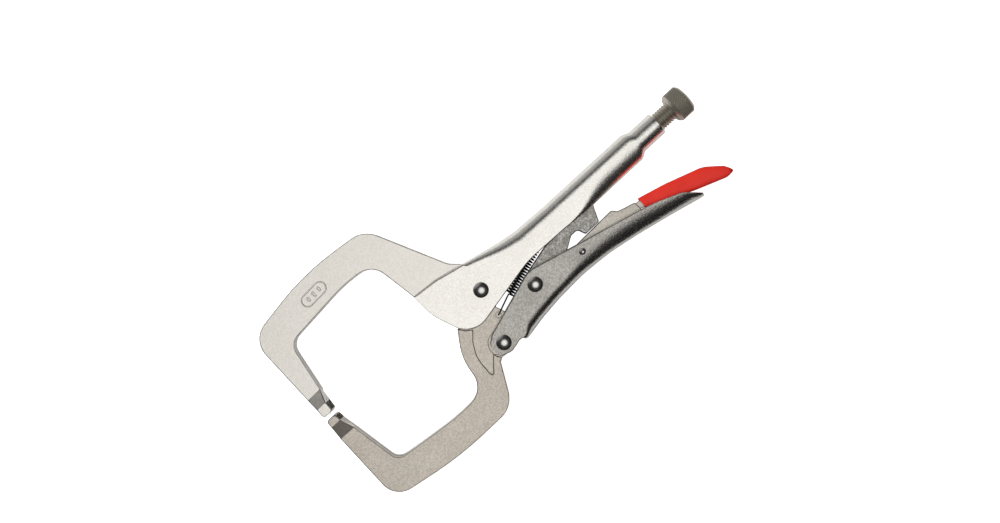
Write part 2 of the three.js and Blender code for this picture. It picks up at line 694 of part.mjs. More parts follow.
// A rivet along Z with a domed head on each side of the cheeks.
function rivet([x, y], shankDiameter, headDiameter, dome) {
  const seat = OUTER_HALF + SEAT;
  const head = headDiameter / 2;
  const rim = 0.35;
  const sphere = (head * head + dome * dome) / (2 * dome);
  const cap = [0, 0.35, 0.7, 1].map((t) => {
    const radius = head * (1 - t);
    return [seat + rim + Math.sqrt(sphere * sphere - radius * radius) - (sphere - dome), radius];
  });
  const half = [[0, shankDiameter / 2], [seat, shankDiameter / 2], [seat, head], ...cap];
  const mirrored = half.slice(1).map(([z, radius]) => [-z, radius]).reverse();
  const profile = [...mirrored, ...half.slice(1)].map(([z, radius]) => new THREE.Vector2(Math.max(radius, 0), z));
  const geometry = new THREE.LatheGeometry(profile, 20);
  geometry.rotateX(Math.PI / 2).translate(x, y, 0);
  return toSolid(geometry);
}

// ---- return spring ----

// Wire path: a hook in the moving jaw's eye, a leg, the coil, and a hook through the handle's tab.
class SpringPath extends THREE.Curve {
  constructor() {
    super();
    const start = new THREE.Vector3(P1[0] + 10.2, -19.4, 0);
    const end = new THREE.Vector3(SPRING_TAB[0], SPRING_TAB[1], 0);
    const along = end.clone().sub(start).normalize();
    const across = new THREE.Vector3(-along.y, along.x, 0);
    const radius = COIL_DIAMETER / 2;
    const over = TONGUE_THICKNESS / 2 + WIRE * 0.5 + 0.35;
    const tabSide = SHEET / 2 + WIRE * 0.5 + 0.35;
    const coil = Array.from({ length: COIL_TURNS * 8 + 1 }, (_, i) => {
      const angle = (i * Math.PI) / 4;
      return start
        .clone()
        .addScaledVector(along, (i / 8) * COIL_PITCH)
        .addScaledVector(across, radius * Math.cos(angle))
        .add(new THREE.Vector3(0, 0, radius * Math.sin(angle)));
    });
    const eye = new THREE.Vector3(SPRING_EYE[0], SPRING_EYE[1], 0);
    const coilEnd = start.clone().addScaledVector(along, COIL_TURNS * COIL_PITCH);
    this.points = [
      eye.clone().setZ(over - 4.5),
      eye.clone().setZ(over - 1.2),
      eye.clone().add(new THREE.Vector3(0.5, 0.3, over)),
      eye.clone().add(new THREE.Vector3(4.4, 2.2, over)),
      start.clone().addScaledVector(along, -2.6).setZ(2.4),
      ...coil,
      coilEnd.clone().addScaledVector(along, 1.4).setZ(tabSide + 0.4),
      end.clone().addScaledVector(along, -0.9).setZ(tabSide),
      end.clone().setZ(tabSide - 1.1),
      end.clone().setZ(-tabSide - 0.8),
    ];
  }
  getPoint(t, target = new THREE.Vector3()) {
    const place = THREE.MathUtils.clamp(t, 0, 1) * (this.points.length - 1);
    const i = Math.min(Math.floor(place), this.points.length - 2);
    return target.lerpVectors(this.points[i], this.points[i + 1], place - i);
  }
}

function returnSpring() {
  const path = new SpringPath();
  // One step per stored point, so that each turn keeps its eight corners.
  path.getPointAt = path.getPoint;
  path.getUtoTmapping = (u) => u;
  const sides = 5;
  const corner = (_, i) => new THREE.Vector2(WIRE / 2, 0).rotateAround(new THREE.Vector2(), (2 * Math.PI * i) / sides);
  const wire = new THREE.Shape(Array.from({ length: sides }, corner));
  const geometry = new THREE.ExtrudeGeometry(wire, {
    steps: path.points.length - 1,
    bevelEnabled: false,
    extrudePath: path,
  });
  return toSolid(geometry);
}

// ---- finishes: colour, roughness, metalness ----
const NICKEL = [0xe9e4d8, 0.34, 0.9];
const NICKEL_JAW = [0xd2ccc0, 0.38, 0.9];
const POLISHED = [0xdedad0, 0.18, 1.0];
const DARK_STEEL = [0x8d877c, 0.5, 0.9];
const SPRING_STEEL = [0x17171a, 0.4, 0.8];
const RED_VINYL = [0xe0392e, 0.42, 0.0];

const pliers = new THREE.Group();
const pieces = [
  ["fixed_handle", fixedHandle, NICKEL],
  ["fixed_jaw", fixedJaw, NICKEL_JAW],
  ["moving_jaw", movingJaw, NICKEL_JAW],
  ["lower_handle", lowerHandle, NICKEL],
  ["toggle_link", toggleLink, DARK_STEEL],
  ["release_lever", releaseLever, NICKEL],
  ["release_lever_sleeve", leverSleeve, RED_VINYL],
  ["adjusting_screw", adjustingScrew, DARK_STEEL],
  ["screw_retaining_ring", retainingRing, SPRING_STEEL],
  ["jaw_pivot_rivet", () => rivet(P1, RIVET_SHANK, RIVET_HEAD, RIVET_DOME), POLISHED],
  ["handle_pivot_rivet", () => rivet(P2, RIVET_SHANK, RIVET_HEAD, RIVET_DOME), POLISHED],
  ["link_pivot_rivet", () => rivet(P3, RIVET_SHANK, RIVET_HEAD, RIVET_DOME), POLISHED],
  ["release_lever_rivet", () => rivet(P5, LEVER_RIVET_SHANK, LEVER_RIVET_HEAD, LEVER_RIVET_DOME), POLISHED],
  ["return_spring", returnSpring, SPRING_STEEL],
];
for (const [name, make, finish] of pieces) pliers.add(toMesh(name, make(), finish));

export default pliers;
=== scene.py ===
"""Locking C-clamp pliers lying flat on a pale floor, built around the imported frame.

Every size in this file is in millimetres, in the frame's own axes: +X runs from the jaw tips to the screw
knob, +Y towards the fixed jaw and +Z through the thickness, with the origin on the clamping face of the
fixed jaw. A shape is turned into metres once, when its mesh is stored.
"""

import json
import logging
from collections.abc import Sequence
from dataclasses import dataclass, field
from enum import Enum

import bmesh
import bpy
import numpy as np
from numpy.typing import NDArray
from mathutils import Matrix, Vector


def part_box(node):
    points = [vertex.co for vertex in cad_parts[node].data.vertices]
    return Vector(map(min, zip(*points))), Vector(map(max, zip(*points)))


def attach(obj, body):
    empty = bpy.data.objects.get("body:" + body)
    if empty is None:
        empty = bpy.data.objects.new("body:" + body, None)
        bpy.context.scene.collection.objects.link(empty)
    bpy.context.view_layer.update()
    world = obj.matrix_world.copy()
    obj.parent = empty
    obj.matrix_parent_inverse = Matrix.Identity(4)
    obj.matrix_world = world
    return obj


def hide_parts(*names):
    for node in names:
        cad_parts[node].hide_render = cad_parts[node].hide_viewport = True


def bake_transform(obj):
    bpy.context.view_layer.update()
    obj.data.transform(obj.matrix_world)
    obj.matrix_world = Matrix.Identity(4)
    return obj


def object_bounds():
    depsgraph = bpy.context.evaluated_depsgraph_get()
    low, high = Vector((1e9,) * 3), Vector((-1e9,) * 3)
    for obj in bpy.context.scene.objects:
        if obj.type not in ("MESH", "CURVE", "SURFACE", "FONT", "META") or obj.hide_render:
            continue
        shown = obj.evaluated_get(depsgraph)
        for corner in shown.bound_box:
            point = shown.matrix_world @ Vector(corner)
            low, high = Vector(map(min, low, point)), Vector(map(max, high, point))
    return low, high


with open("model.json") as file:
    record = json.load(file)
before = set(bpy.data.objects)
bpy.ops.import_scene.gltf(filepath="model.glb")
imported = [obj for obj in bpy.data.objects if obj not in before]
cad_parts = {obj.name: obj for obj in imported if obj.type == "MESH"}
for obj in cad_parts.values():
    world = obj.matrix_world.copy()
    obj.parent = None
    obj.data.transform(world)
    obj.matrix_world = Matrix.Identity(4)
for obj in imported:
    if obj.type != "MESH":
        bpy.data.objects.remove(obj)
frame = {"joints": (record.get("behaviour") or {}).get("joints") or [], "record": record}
CAD_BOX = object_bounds()

Array = NDArray[np.float64]
Corner = tuple[float, ...]
Colour = tuple[float, float, float]

MM = 0.001
FACET_CREASE = 11.6  # degrees; parts ground facets, and is just over one step of a rim's rounding
SUPPORT = 0.25  # width of the flat strip that keeps a rounding's shade off the face beside it
logger = logging.getLogger("locking_pliers")


# ---- places taken from the frame ----


def pivot(joint: str) -> Array:
    """Centre of a hinge in the plane of the pliers.

    Args:
        joint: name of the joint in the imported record.

    Returns:
        The x and y of its axis in millimetres.
    """
    found = next(j for j in frame["joints"] if j["name"] == joint)
    return np.array(found["pos_m"][:2]) / MM


def mount_y(name: str) -> float:
    """Height y of a mount of the record in millimetres."""
    return next(m for m in frame["record"]["mounts"] if m["name"] == name)["pos_m"][1] / MM


def corners_of(node: str) -> tuple[Array, Array]:
    """Lowest and highest corner of a CAD node in millimetres."""
    low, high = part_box(node)
    return np.array(low) / MM, np.array(high) / MM


JAW_PIVOT = pivot("jaw_swing")
HANDLE_PIVOT = pivot("handle_swing")
LINK_PIVOT = pivot("link_swing")
LEVER_PIVOT = pivot("release_lever_swing")
SCREW_LOW, SCREW_HIGH = corners_of("adjusting_screw")
SCREW_AXIS_Y = float(SCREW_LOW[1] + SCREW_HIGH[1]) / 2
MOVING_FACE_Y = mount_y("moving_pad")
JAW_HALF = float(corners_of("fixed_jaw")[1][2])
HANDLE_HALF = float(corners_of("fixed_handle")[1][2])
RIVET_TOP = float(corners_of("jaw_pivot_rivet")[1][2])
LEVER_RIVET_TOP = float(corners_of("release_lever_rivet")[1][2])
FLOOR_Z = float(CAD_BOX[0][2]) / MM


# ---- shapes ----


class Axis(Enum):
    """Direction that a turned shape spins about."""

    X = (1, 2, 0)
    Z = (0, 1, 2)


@dataclass
class Shape:
    """Points in millimetres and the faces between them; several closed shells may share one shape."""

    points: Array
    faces: list[list[int]]
    hollow: Array | None = None  # how deep in a groove each point lies, from 0 to 1; it sets the painted shade in the grooves

    def __add__(self, other: "Shape") -> "Shape":
        """Both shapes as one, with the second one's faces counted on from the first one's points."""
        start = len(self.points)
        later = [[i + start for i in face] for face in other.faces]
        depths = [np.zeros(len(s.points)) if s.hollow is None else s.hollow for s in (self, other)]
        points = np.concatenate([self.points, other.points])
        return Shape(points, self.faces + later, np.concatenate(depths))

    def turned_by(self, degrees: float, centre: Array) -> "Shape":
        """The shape turned about Z round a centre by an angle."""
        angle = np.radians(degrees)
        turn = np.array([[np.cos(angle), np.sin(angle)], [-np.sin(angle), np.cos(angle)]])
        points = self.points.copy()
        points[:, :2] = (points[:, :2] - centre) @ turn + centre
        return Shape(points, self.faces)

    def mirrored(self) -> "Shape":
        """The shape reflected through the mid plane z = 0."""
        return Shape(self.points * np.array([1, 1, -1]), [face[::-1] for face in self.faces])

    def store(self, name: str, crease: float = 35) -> bpy.types.Object:
        """Makes the Blender object: doubles merged, faces turned outwards, edges over the crease angle
        sharp.

        Args:
            name: name of the piece.
            crease: angle in degrees above which an edge stays sharp.

        Returns:
            The mesh object, at the origin.
        """
        mesh = bpy.data.meshes.new(name)
        mesh.from_pydata((self.points * MM).tolist(), [], self.faces)
        if self.hollow is not None:
            mesh.attributes.new("hollow", "FLOAT", "POINT").data.foreach_set("value", self.hollow)
        work = bmesh.new()
        work.from_mesh(mesh)
        bmesh.ops.remove_doubles(work, verts=work.verts, dist=2e-6)
        bmesh.ops.recalc_face_normals(work, faces=work.faces)
        work.to_mesh(mesh)
        work.free()
        mesh.polygons.foreach_set("use_smooth", np.ones(len(mesh.polygons), bool))
        mesh.set_sharp_from_angle(angle=float(np.radians(crease)))
        made = bpy.data.objects.new(name, mesh)
        bpy.context.scene.collection.objects.link(made)
        return made


def grid_faces(rows: int, columns: int) -> list[list[int]]:
    """Quads of a grid whose columns close on themselves: each joins a point, its neighbour in the same row,
    and the two below them."""
    index = np.arange(rows * columns).reshape(rows, columns)
    right = np.roll(index, -1, axis=1)
    return np.stack([index[:-1], right[:-1], right[1:], index[1:]], -1).reshape(-1, 4).tolist()


def corner_data(corners: Sequence[Corner] | Array) -> tuple[Array, ...]:
    """Corners of an outline with the radius that each can really have.

    An arc of radius r starts r / tan(half the corner's angle) before the corner, and a side that is too
    short limits that reach to half its length.

    Args:
        corners: x, y and, where the corner is round, its radius.

    Returns:
        The points, the radii, half of each corner's angle, 1 at corners that turn left and -1 at the
        others, and the directions to the corner before and to the one after.
    """
    p = np.array([corner[:2] for corner in corners], float)
    radius = np.array([corner[2] if len(corner) > 2 else 0.0 for corner in corners])
    before, after = np.roll(p, 1, 0) - p, np.roll(p, -1, 0) - p
    reach_before, reach_after = np.linalg.norm(before, axis=1), np.linalg.norm(after, axis=1)
    before, after = before / reach_before[:, None], after / reach_after[:, None]
    half = np.arccos(np.clip((before * after).sum(1), -1, 0.999999)) / 2
    reach = np.minimum(radius / np.tan(half), 0.4999 * np.minimum(reach_before, reach_after))
    turn = -np.sign(before[:, 0] * after[:, 1] - before[:, 1] * after[:, 0])
    return p, reach * np.tan(half), half, turn, before, after


def rounded(corners: Sequence[Corner], steps: int = 13, inset: float = 0.0) -> Array:
    """Closed line through corners whose sharp turns are replaced by arcs.

    An arc's centre lies on the corner's bisector at r / sin(half the corner's angle). With an inset, each
    corner first moves in so that both its sides do by that much; an outer arc loses the inset from its
    radius, down to none, and an inner arc gains it.

    Args:
        corners: x, y and, where the corner is round, its radius; counter-clockwise if there is an inset.
        steps: points on each arc; a sharp corner repeats its point as often.
        inset: distance by which the line is moved in.

    Returns:
        The points in order.
    """
    p, radius, half, turn, before, after = corner_data(corners)
    if inset:
        radius = np.where(radius > 0, np.maximum(radius - turn * inset, 0), 0)
        p, radius, half, turn, before, after = corner_data(np.column_stack([inset_by(p, inset), radius]))
    middle = before + after + 1e-9
    middle /= np.linalg.norm(middle, axis=1)[:, None]
    centre = p + middle * (radius / np.sin(half))[:, None]
    start = p + before * (radius / np.tan(half))[:, None] - centre
    angle = (turn * (np.pi - 2 * half))[:, None] * np.linspace(0, 1, steps)
    x = start[:, :1] * np.cos(angle) - start[:, 1:] * np.sin(angle) + centre[:, :1]
    y = start[:, :1] * np.sin(angle) + start[:, 1:] * np.cos(angle) + centre[:, 1:]
    return np.stack([x, y], -1).reshape(-1, 2)


def box_corners(x: float, y: float, width: float, height: float, radius: float) -> list[Corner]:
    """Corners of an upright box round a centre, counter-clockwise, each with the same radius."""
    signs = ((-1, -1), (1, -1), (1, 1), (-1, 1))
    return [(x + right * width / 2, y + up * height / 2, radius) for right, up in signs]


def open_line(corners: Sequence[Corner]) -> Array:
    """Rounded line that starts at the first corner and ends at the last one, both sharp."""
    line = rounded([corners[0][:2], *corners[1:-1], corners[-1][:2]])
    step = np.linalg.norm(line - np.roll(line, 1, 0), axis=1)
    step[0] = 1
    return line[step > 1e-3]


def along(line: Array, share: Array) -> Array:
    """Points of an open line at shares of its length: length is summed from point to point and each share is
    looked up in it."""
    length = np.concatenate([[0], np.cumsum(np.linalg.norm(np.diff(line, axis=0), axis=1))])
    return np.stack([np.interp(share * length[-1], length, line[:, k]) for k in (0, 1)], -1)


def inset_by(loop: Array, inset: float) -> Array:
    """A counter-clockwise loop moved inwards: each point goes along the sum of its two side normals, scaled
    so that both sides move by the same inset."""
    side = np.roll(loop, -1, 0) - loop
    normal = np.stack([-side[:, 1], side[:, 0]], -1) / np.linalg.norm(side, axis=1)[:, None]
    both = normal + np.roll(normal, 1, 0)
    return loop + inset * both * (2 / (both**2).sum(1))[:, None]


def smooth(x: Array, start: float, end: float) -> Array:
    """Smooth step: 0 before start, 1 after end and 3t^2 - 2t^3 of the share t in between."""
    t = np.clip((x - start) / (end - start), 0, 1)
    return t * t * (3 - 2 * t)


def rim_profile(half: float, radius: float, steps: int = 9) -> Array:
    """Edge of a plate from its lower face to its upper one, as pairs of inset and height: a quarter circle
    at each face, with a narrow flat strip on both sides of it, and a point on the mid plane."""
    angle = np.linspace(0, np.pi / 2, steps)
    arc = np.stack([radius * (1 - np.sin(angle)), half - radius * (1 - np.cos(angle))], -1)[::-1]
    upper = np.concatenate([[[0, half - radius - min(SUPPORT, (half - radius) / 2)]], arc])
    upper = np.concatenate([upper, [[radius + SUPPORT, half]]])
    return np.concatenate([upper[::-1] * [1, -1], [[0, 0]], upper])


def plate(corners: Sequence[Corner], half: float, radius: float, grind: "TipGrind | None" = None) -> Shape:
    """Plate with rounded edges: the rim profile is carried round the outline, and flat faces close it.

    Each ring of the rim is the outline moved in by the profile's inset, at the profile's height. Where the
    plate is ground thinner, the height is multiplied by the share that is left at the outline's own point,
    and x loses the bevel there times the share of the half thickness. Each face is one polygon for every
    facet of the grind, so that every facet stays flat.

    Args:
        corners: outline, counter-clockwise.
        half: half of the thickness.
        radius: rounding of both edges.
        grind: the thinning of a tip, if it has one.

    Returns:
        The closed plate, centred on z = 0.
    """
    profile = rim_profile(half, radius)
    outline = rounded(corners)
    count = len(outline)
    share = grind.share(outline) if grind else np.ones(count)
    bevel = grind.bevel_at(outline) if grind else np.zeros(count)
    rings = [
        np.column_stack([rounded(corners, inset=inset) - np.outer(bevel * abs(z) / half, [1, 0]), z * share])
        for inset, z in profile
    ]
    faces = grid_faces(len(profile), count)
    low, high = np.arange(count), np.arange(count) + (len(profile) - 1) * count
    facets = grind.facets(outline) if grind else [np.ones(count, bool)]
    faces += [high[facet].tolist() for facet in facets] + [low[facet][::-1].tolist() for facet in facets]
    return Shape(np.concatenate(rings), faces)


def turned(profile: Array, axis: Axis, centre: Sequence[float], around: int = 64) -> Shape:
    """Turned shape: each profile point (place along the axis, radius) sweeps a circle about the axis.

    Args:
        profile: pairs of place and radius; it starts and ends on the axis or closes on itself.
        axis: direction of the axis.
        centre: a point on the axis.
        around: points on each circle.

    Returns:
        The closed shape.
    """
    angle = np.linspace(0, 2 * np.pi, around, endpoint=False)
    first, second, third = axis.value
    points = np.zeros((len(profile), around, 3))
    points[..., third] = profile[:, :1]
    points[..., first] = profile[:, 1:] * np.cos(angle)
    points[..., second] = profile[:, 1:] * np.sin(angle)
    return Shape(points.reshape(-1, 3) + np.array(centre), grid_faces(len(profile), around))


def wire(path: Array, radius: float, sides: int = 10) -> Shape:
    """Round wire: a circle of points carried along a path, square to it.

    The circle's two directions are the path's tangent crossed with a fixed slanting direction, and that
    direction crossed with the tangent.

    Args:
        path: points of the centre line.
        radius: radius of the wire.
        sides: points on each circle.

    Returns:
        The closed wire.
    """
    tangent = np.gradient(path, axis=0)
    tangent /= np.linalg.norm(tangent, axis=1)[:, None]
    across = np.cross(tangent, np.array([0.62, 0.41, 0.67]))
    across /= np.linalg.norm(across, axis=1)[:, None]
    other = np.cross(tangent, across)
    angle = np.linspace(0, 2 * np.pi, sides, endpoint=False)[None, :, None]
    rings = path[:, None] + radius * (np.cos(angle) * across[:, None] + np.sin(angle) * other[:, None])
    faces = grid_faces(len(path), sides)
    last = (len(path) - 1) * sides
    faces += [list(range(sides))[::-1], list(range(last, last + sides))]
    return Shape(rings.reshape(-1, 3), faces)


def closed_bead(loop: Array, z: float, radius: float, sides: int = 10) -> Shape:
    """Raised line on a face: a circle of points carried round a closed loop, half sunk in the face."""
    step = np.linalg.norm(loop - np.roll(loop, 1, 0), axis=1)
    loop = loop[step > 1e-3]
    angle = np.linspace(0, 2 * np.pi, sides, endpoint=False)
    ring = np.stack([inset_by(loop, radius * np.cos(a)) for a in angle])
    height = z + radius * np.sin(angle)
    points = np.concatenate([ring, np.repeat(height[:, None, None], len(loop), 1)], -1)
    index = np.arange(sides * len(loop)).reshape(sides, len(loop))
    down, right = np.roll(index, -1, 0), np.roll(index, -1, 1)
    both = np.roll(down, -1, 1)
    return Shape(points.reshape(-1, 3), np.stack([index, right, both, down], -1).reshape(-1, 4).tolist())


@dataclass
class SheetEdge:
    """One long edge of a folded sheet, row by row: left plain, or bent over towards the mid plane."""

    bend: Array  # outside radius of the bend, across the pliers
    reach: Array  # depth of the bend, which is its radius where the bend is round
    curl: Array  # 0 a plain edge, 1 bent over to the foot
    foot: Array  # height z at which the bent-over sheet ends; 0 closes on the other half
    rounding: Array  # rounding of a plain edge

    def shut(self) -> Array:
        """Which rows close on the other half."""
        return (self.foot < 1e-6) & (self.curl > 0.999)


@dataclass
class FoldedSheet:
    """Sheet folded lengthwise to a channel or a tube, symmetric about z = 0, built as a grid.

    One parameter runs along the handle and picks a row; the other runs round the section of one cheek. In
    each row a straight flank joins the upper line to the lower line. At each line the sheet either ends in
    a plain edge or turns round a bend towards the mid plane, and a weight between 0 and 1 mixes the two.
    """

    upper: Array  # x, y of the upper line, one row each
    lower: Array
    half: Array  # half of the outside width
    wall: Array
    upper_edge: SheetEdge
    lower_edge: SheetEdge
    lean: Array  # share of the half width that is lost from the upper line to the lower one
    steps: int = 9

    def _turn(self, side: SheetEdge) -> tuple[Array, Array]:
        """Outside and inside lines from the end of the flank to the foot, as depth from the line and height.

        On an oval bend of radius R and depth D the outside point at angle a lies D - D sin a deep and at
        half - R + R cos a; the inside point does the same with R and D less the wall. A plain edge does it
        with its small rounding, and its inside runs straight.
        """
        angle = np.linspace(0, np.pi / 2, self.steps)[None]
        half, wall = self.half[:, None], self.wall[:, None]
        bend, reach, foot, edge = (row[:, None] for row in (side.bend, side.reach, side.foot, side.rounding))
        inner, deep = np.maximum(bend - wall, 0.3), np.maximum(reach - wall, 0.3)
        bent_out = np.stack([reach * (1 - np.sin(angle)), half - bend * (1 - np.cos(angle))], -1)
        bent_in = np.stack([reach - deep * np.sin(angle), half - bend + inner * np.cos(angle)], -1)
        plain_out = np.stack([edge * (1 - np.sin(angle)), half - edge * (1 - np.cos(angle))], -1)
        run = np.linspace(0, 1, self.steps)[None]
        plain_in = np.stack([edge + (0.2 - edge) * run, (half - wall) + 0 * run], -1)
        zero = 0 * foot
        bent_out = np.concatenate([bent_out, np.stack([zero, foot], -1)], 1)
        bent_in = np.concatenate([bent_in, np.stack([zero + wall, foot], -1)], 1)
        plain_out = np.concatenate([plain_out, np.stack([zero, half - wall + 0.2], -1)], 1)
        plain_in = np.concatenate([plain_in, np.stack([zero + 0.1, half - wall + 0.1], -1)], 1)
        weight = side.curl[:, None, None]
        return plain_out + (bent_out - plain_out) * weight, plain_in + (bent_in - plain_in) * weight

    def build(self) -> Shape:
        """Both halves of the sheet, closed where they meet.

        Returns:
            The closed sheet.
        """
        rows = len(self.upper)
        up_out, up_in = self._turn(self.upper_edge)
        low_out, low_in = self._turn(self.lower_edge)
        span = (self.upper[:, 1] - self.lower[:, 1])[:, None]
        height = np.linalg.norm(self.upper - self.lower, axis=1)[:, None]

        def flank(start: Array, end: Array) -> Array:
            """Straight run between two section points, with a strip at each end that keeps it flat."""
            strip = np.minimum(SUPPORT / np.maximum(np.abs(end - start)[:, :1], 1e-3), 0.3)
            share = np.concatenate([strip, 0.5 + 0 * strip, 1 - strip], 1)[..., None]
            return start[:, None] + (end - start)[:, None] * share

        def down(points: Array) -> Array:
            """Depth measured from the lower line, turned into depth from the upper one."""
            return np.stack([height - points[..., 0], points[..., 1]], -1)

        low_out, low_in = down(low_out), down(low_in)
        section = np.concatenate(
            [
                up_out[:, ::-1],
                flank(up_out[:, 0], low_out[:, 0]),
                low_out,
                low_in[:, ::-1],
                flank(low_in[:, 0], up_in[:, 0]),
                up_in,
            ],
            1,
        )
        share = section[..., 0] / height
        x = self.upper[:, :1] + (self.lower - self.upper)[:, :1] * share
        y = self.upper[:, 1:] - span * share
        columns = section.shape[1]
        z = section[..., 1] * (1 - self.lean[:, None] * share)
        points = np.stack([x, y, z], -1).reshape(-1, 3)
        index = np.arange(rows * columns).reshape(rows, columns)
        right = np.roll(index, -1, 1)
        quads = np.stack([index[:-1], right[:-1], right[1:], index[1:]], -1)
        kept = np.ones(quads.shape[:2], bool)
        low_column = 2 * (self.steps + 1) + 2  # the quads at the lower edge; the last ones are at the upper
        for column, side in ((-1, self.upper_edge), (low_column, self.lower_edge)):
            kept[:, column] = ~(side.shut()[:-1] & side.shut()[1:])
        half = Shape(points, quads[kept].tolist() + [index[0][::-1].tolist(), index[-1].tolist()])
        return half + half.mirrored()


# ---- finishes ----


def group_tree(name: str, inputs: dict[str, float], outputs: Sequence[str]) -> bpy.types.NodeTree:
    """Empty shader node group with float inputs, at their usual values, and float outputs.

    Args:
        name: name of the group.
        inputs: input names and their usual values.
        outputs: output names.

    Returns:
        The group, with its input and output nodes in place.
    """
    tree = bpy.data.node_groups.new(name, "ShaderNodeTree")
    for label, value in inputs.items():
        tree.interface.new_socket(label, in_out="INPUT", socket_type="NodeSocketFloat").default_value = value
    for label in outputs:
        tree.interface.new_socket(label, in_out="OUTPUT", socket_type="NodeSocketFloat")
    tree.nodes.new("NodeGroupInput").name = "in"
    tree.nodes.new("NodeGroupOutput").name = "out"
    return tree


def math_node(tree: bpy.types.NodeTree, operation: str, *values: object) -> bpy.types.NodeSocket:
    """Math node fed with sockets or numbers, and its result."""
    node = tree.nodes.new("ShaderNodeMath")
    node.operation = operation
    for socket, value in zip(node.inputs, values):
        if isinstance(value, bpy.types.NodeSocket):
            tree.links.new(value, socket)
        else:
            socket.default_value = value
    return node.outputs[0]


def noise_node(
    tree: bpy.types.NodeTree, place: bpy.types.NodeSocket, scale: object, detail: float
) -> bpy.types.NodeSocket:
    """Noise texture at a place, and its value."""
    node = tree.nodes.new("ShaderNodeTexNoise")
    tree.links.new(place, node.inputs["Vector"])
    if isinstance(scale, bpy.types.NodeSocket):
        tree.links.new(scale, node.inputs["Scale"])
    else:
        node.inputs["Scale"].default_value = scale
    node.inputs["Detail"].default_value = detail
    return node.outputs["Fac"]


def object_place(tree: bpy.types.NodeTree, stretch: Sequence[float] = (1, 1, 1)) -> bpy.types.NodeSocket:
    """Object coordinates in metres, stretched along each axis."""
    place = tree.nodes.new("ShaderNodeTexCoord").outputs["Object"]
    mapping = tree.nodes.new("ShaderNodeMapping")
    mapping.inputs["Scale"].default_value = stretch
    tree.links.new(place, mapping.inputs["Vector"])
    return mapping.outputs["Vector"]


def make_grain() -> bpy.types.NodeTree:
    """Matt blasted grain: two noises a factor of three apart give the height, the coarse one squared the
    mask."""
    tree = group_tree("blasted_grain", {"Scale": 900.0}, ("Height", "Mask"))
    scale = tree.nodes["in"].outputs["Scale"]
    place = object_place(tree)
    coarse = noise_node(tree, place, scale, 3.0)
    fine = noise_node(tree, place, math_node(tree, "MULTIPLY", scale, 3.1), 4.0)
    height = math_node(tree, "ADD", coarse, math_node(tree, "MULTIPLY", fine, 0.55))
    tree.links.new(height, tree.nodes["out"].inputs["Height"])
    mask = math_node(tree, "SMOOTH_MIN", math_node(tree, "MULTIPLY", coarse, coarse), 1.0, 0.2)
    tree.links.new(mask, tree.nodes["out"].inputs["Mask"])
    return tree


def make_mottle() -> bpy.types.NodeTree:
    """Cloudy plating: slow noise pushed away from its middle value by a contrast."""
    tree = group_tree("cloudy_plating", {"Scale": 60.0, "Contrast": 2.0}, ("Mask",))
    scale, contrast = (tree.nodes["in"].outputs[label] for label in ("Scale", "Contrast"))
    slow = noise_node(tree, object_place(tree), scale, 5.0)
    away = math_node(tree, "MULTIPLY", math_node(tree, "SUBTRACT", slow, 0.5), contrast)
    mask = math_node(tree, "ADD", away, 0.5)
    clamped = math_node(tree, "MINIMUM", math_node(tree, "MAXIMUM", mask, 0.0), 1.0)
    tree.links.new(clamped, tree.nodes["out"].inputs["Mask"])
    return tree


def make_scratches() -> bpy.types.NodeTree:
    """Fine handling scratches along the pliers: noise stretched twentyfold in X, kept only near its middle
    value, where its lines of equal value run."""
    tree = group_tree("handling_scratches", {"Scale": 700.0, "Width": 0.02}, ("Mask",))
    scale, width = (tree.nodes["in"].outputs[label] for label in ("Scale", "Width"))
    value = noise_node(tree, object_place(tree, (0.05, 1.0, 1.0)), scale, 2.0)
    away = math_node(tree, "ABSOLUTE", math_node(tree, "SUBTRACT", value, 0.5))
    line = math_node(tree, "SUBTRACT", 1.0, math_node(tree, "DIVIDE", away, width))
    tree.links.new(math_node(tree, "MAXIMUM", line, 0.0), tree.nodes["out"].inputs["Mask"])
    return tree


def make_edge_wear_and_wall_shade() -> bpy.types.NodeTree:
    """Edge wear and painted wall shade: a mask that grows as the surface leans away from the flat faces, 0
    where its normal is along Z and 1 once the normal has leant over by the set amount. The colour it carries
    is partly rubbed-edge wear and partly painted shade and reflection tone on the side walls."""
    tree = group_tree("edge_wear_and_painted_wall_shade", {"Lean": 0.35}, ("Mask",))
    place = tree.nodes.new("ShaderNodeTexCoord").outputs["Normal"]
    split = tree.nodes.new("ShaderNodeSeparateXYZ")
    tree.links.new(place, split.inputs[0])
    lean = math_node(tree, "SUBTRACT", 1.0, math_node(tree, "ABSOLUTE", split.outputs["Z"]))
    share = math_node(tree, "DIVIDE", lean, tree.nodes["in"].outputs["Lean"])
    tree.links.new(math_node(tree, "MINIMUM", share, 1.0), tree.nodes["out"].inputs["Mask"])
    return tree


class Effect(Enum):
    """Shader node groups that several finishes share, each made once, when it is first used."""

    GRAIN = "blasted_grain"
    MOTTLE = "cloudy_plating"
    SCRATCHES = "handling_scratches"
    RIM = "edge_wear_and_painted_wall_shade"

    def tree(self) -> bpy.types.NodeTree:
        """The group of this effect."""
        makers = {
            Effect.GRAIN: make_grain,
            Effect.MOTTLE: make_mottle,
            Effect.SCRATCHES: make_scratches,
            Effect.RIM: make_edge_wear_and_wall_shade,
        }
        return bpy.data.node_groups.get(self.value) or makers[self]()


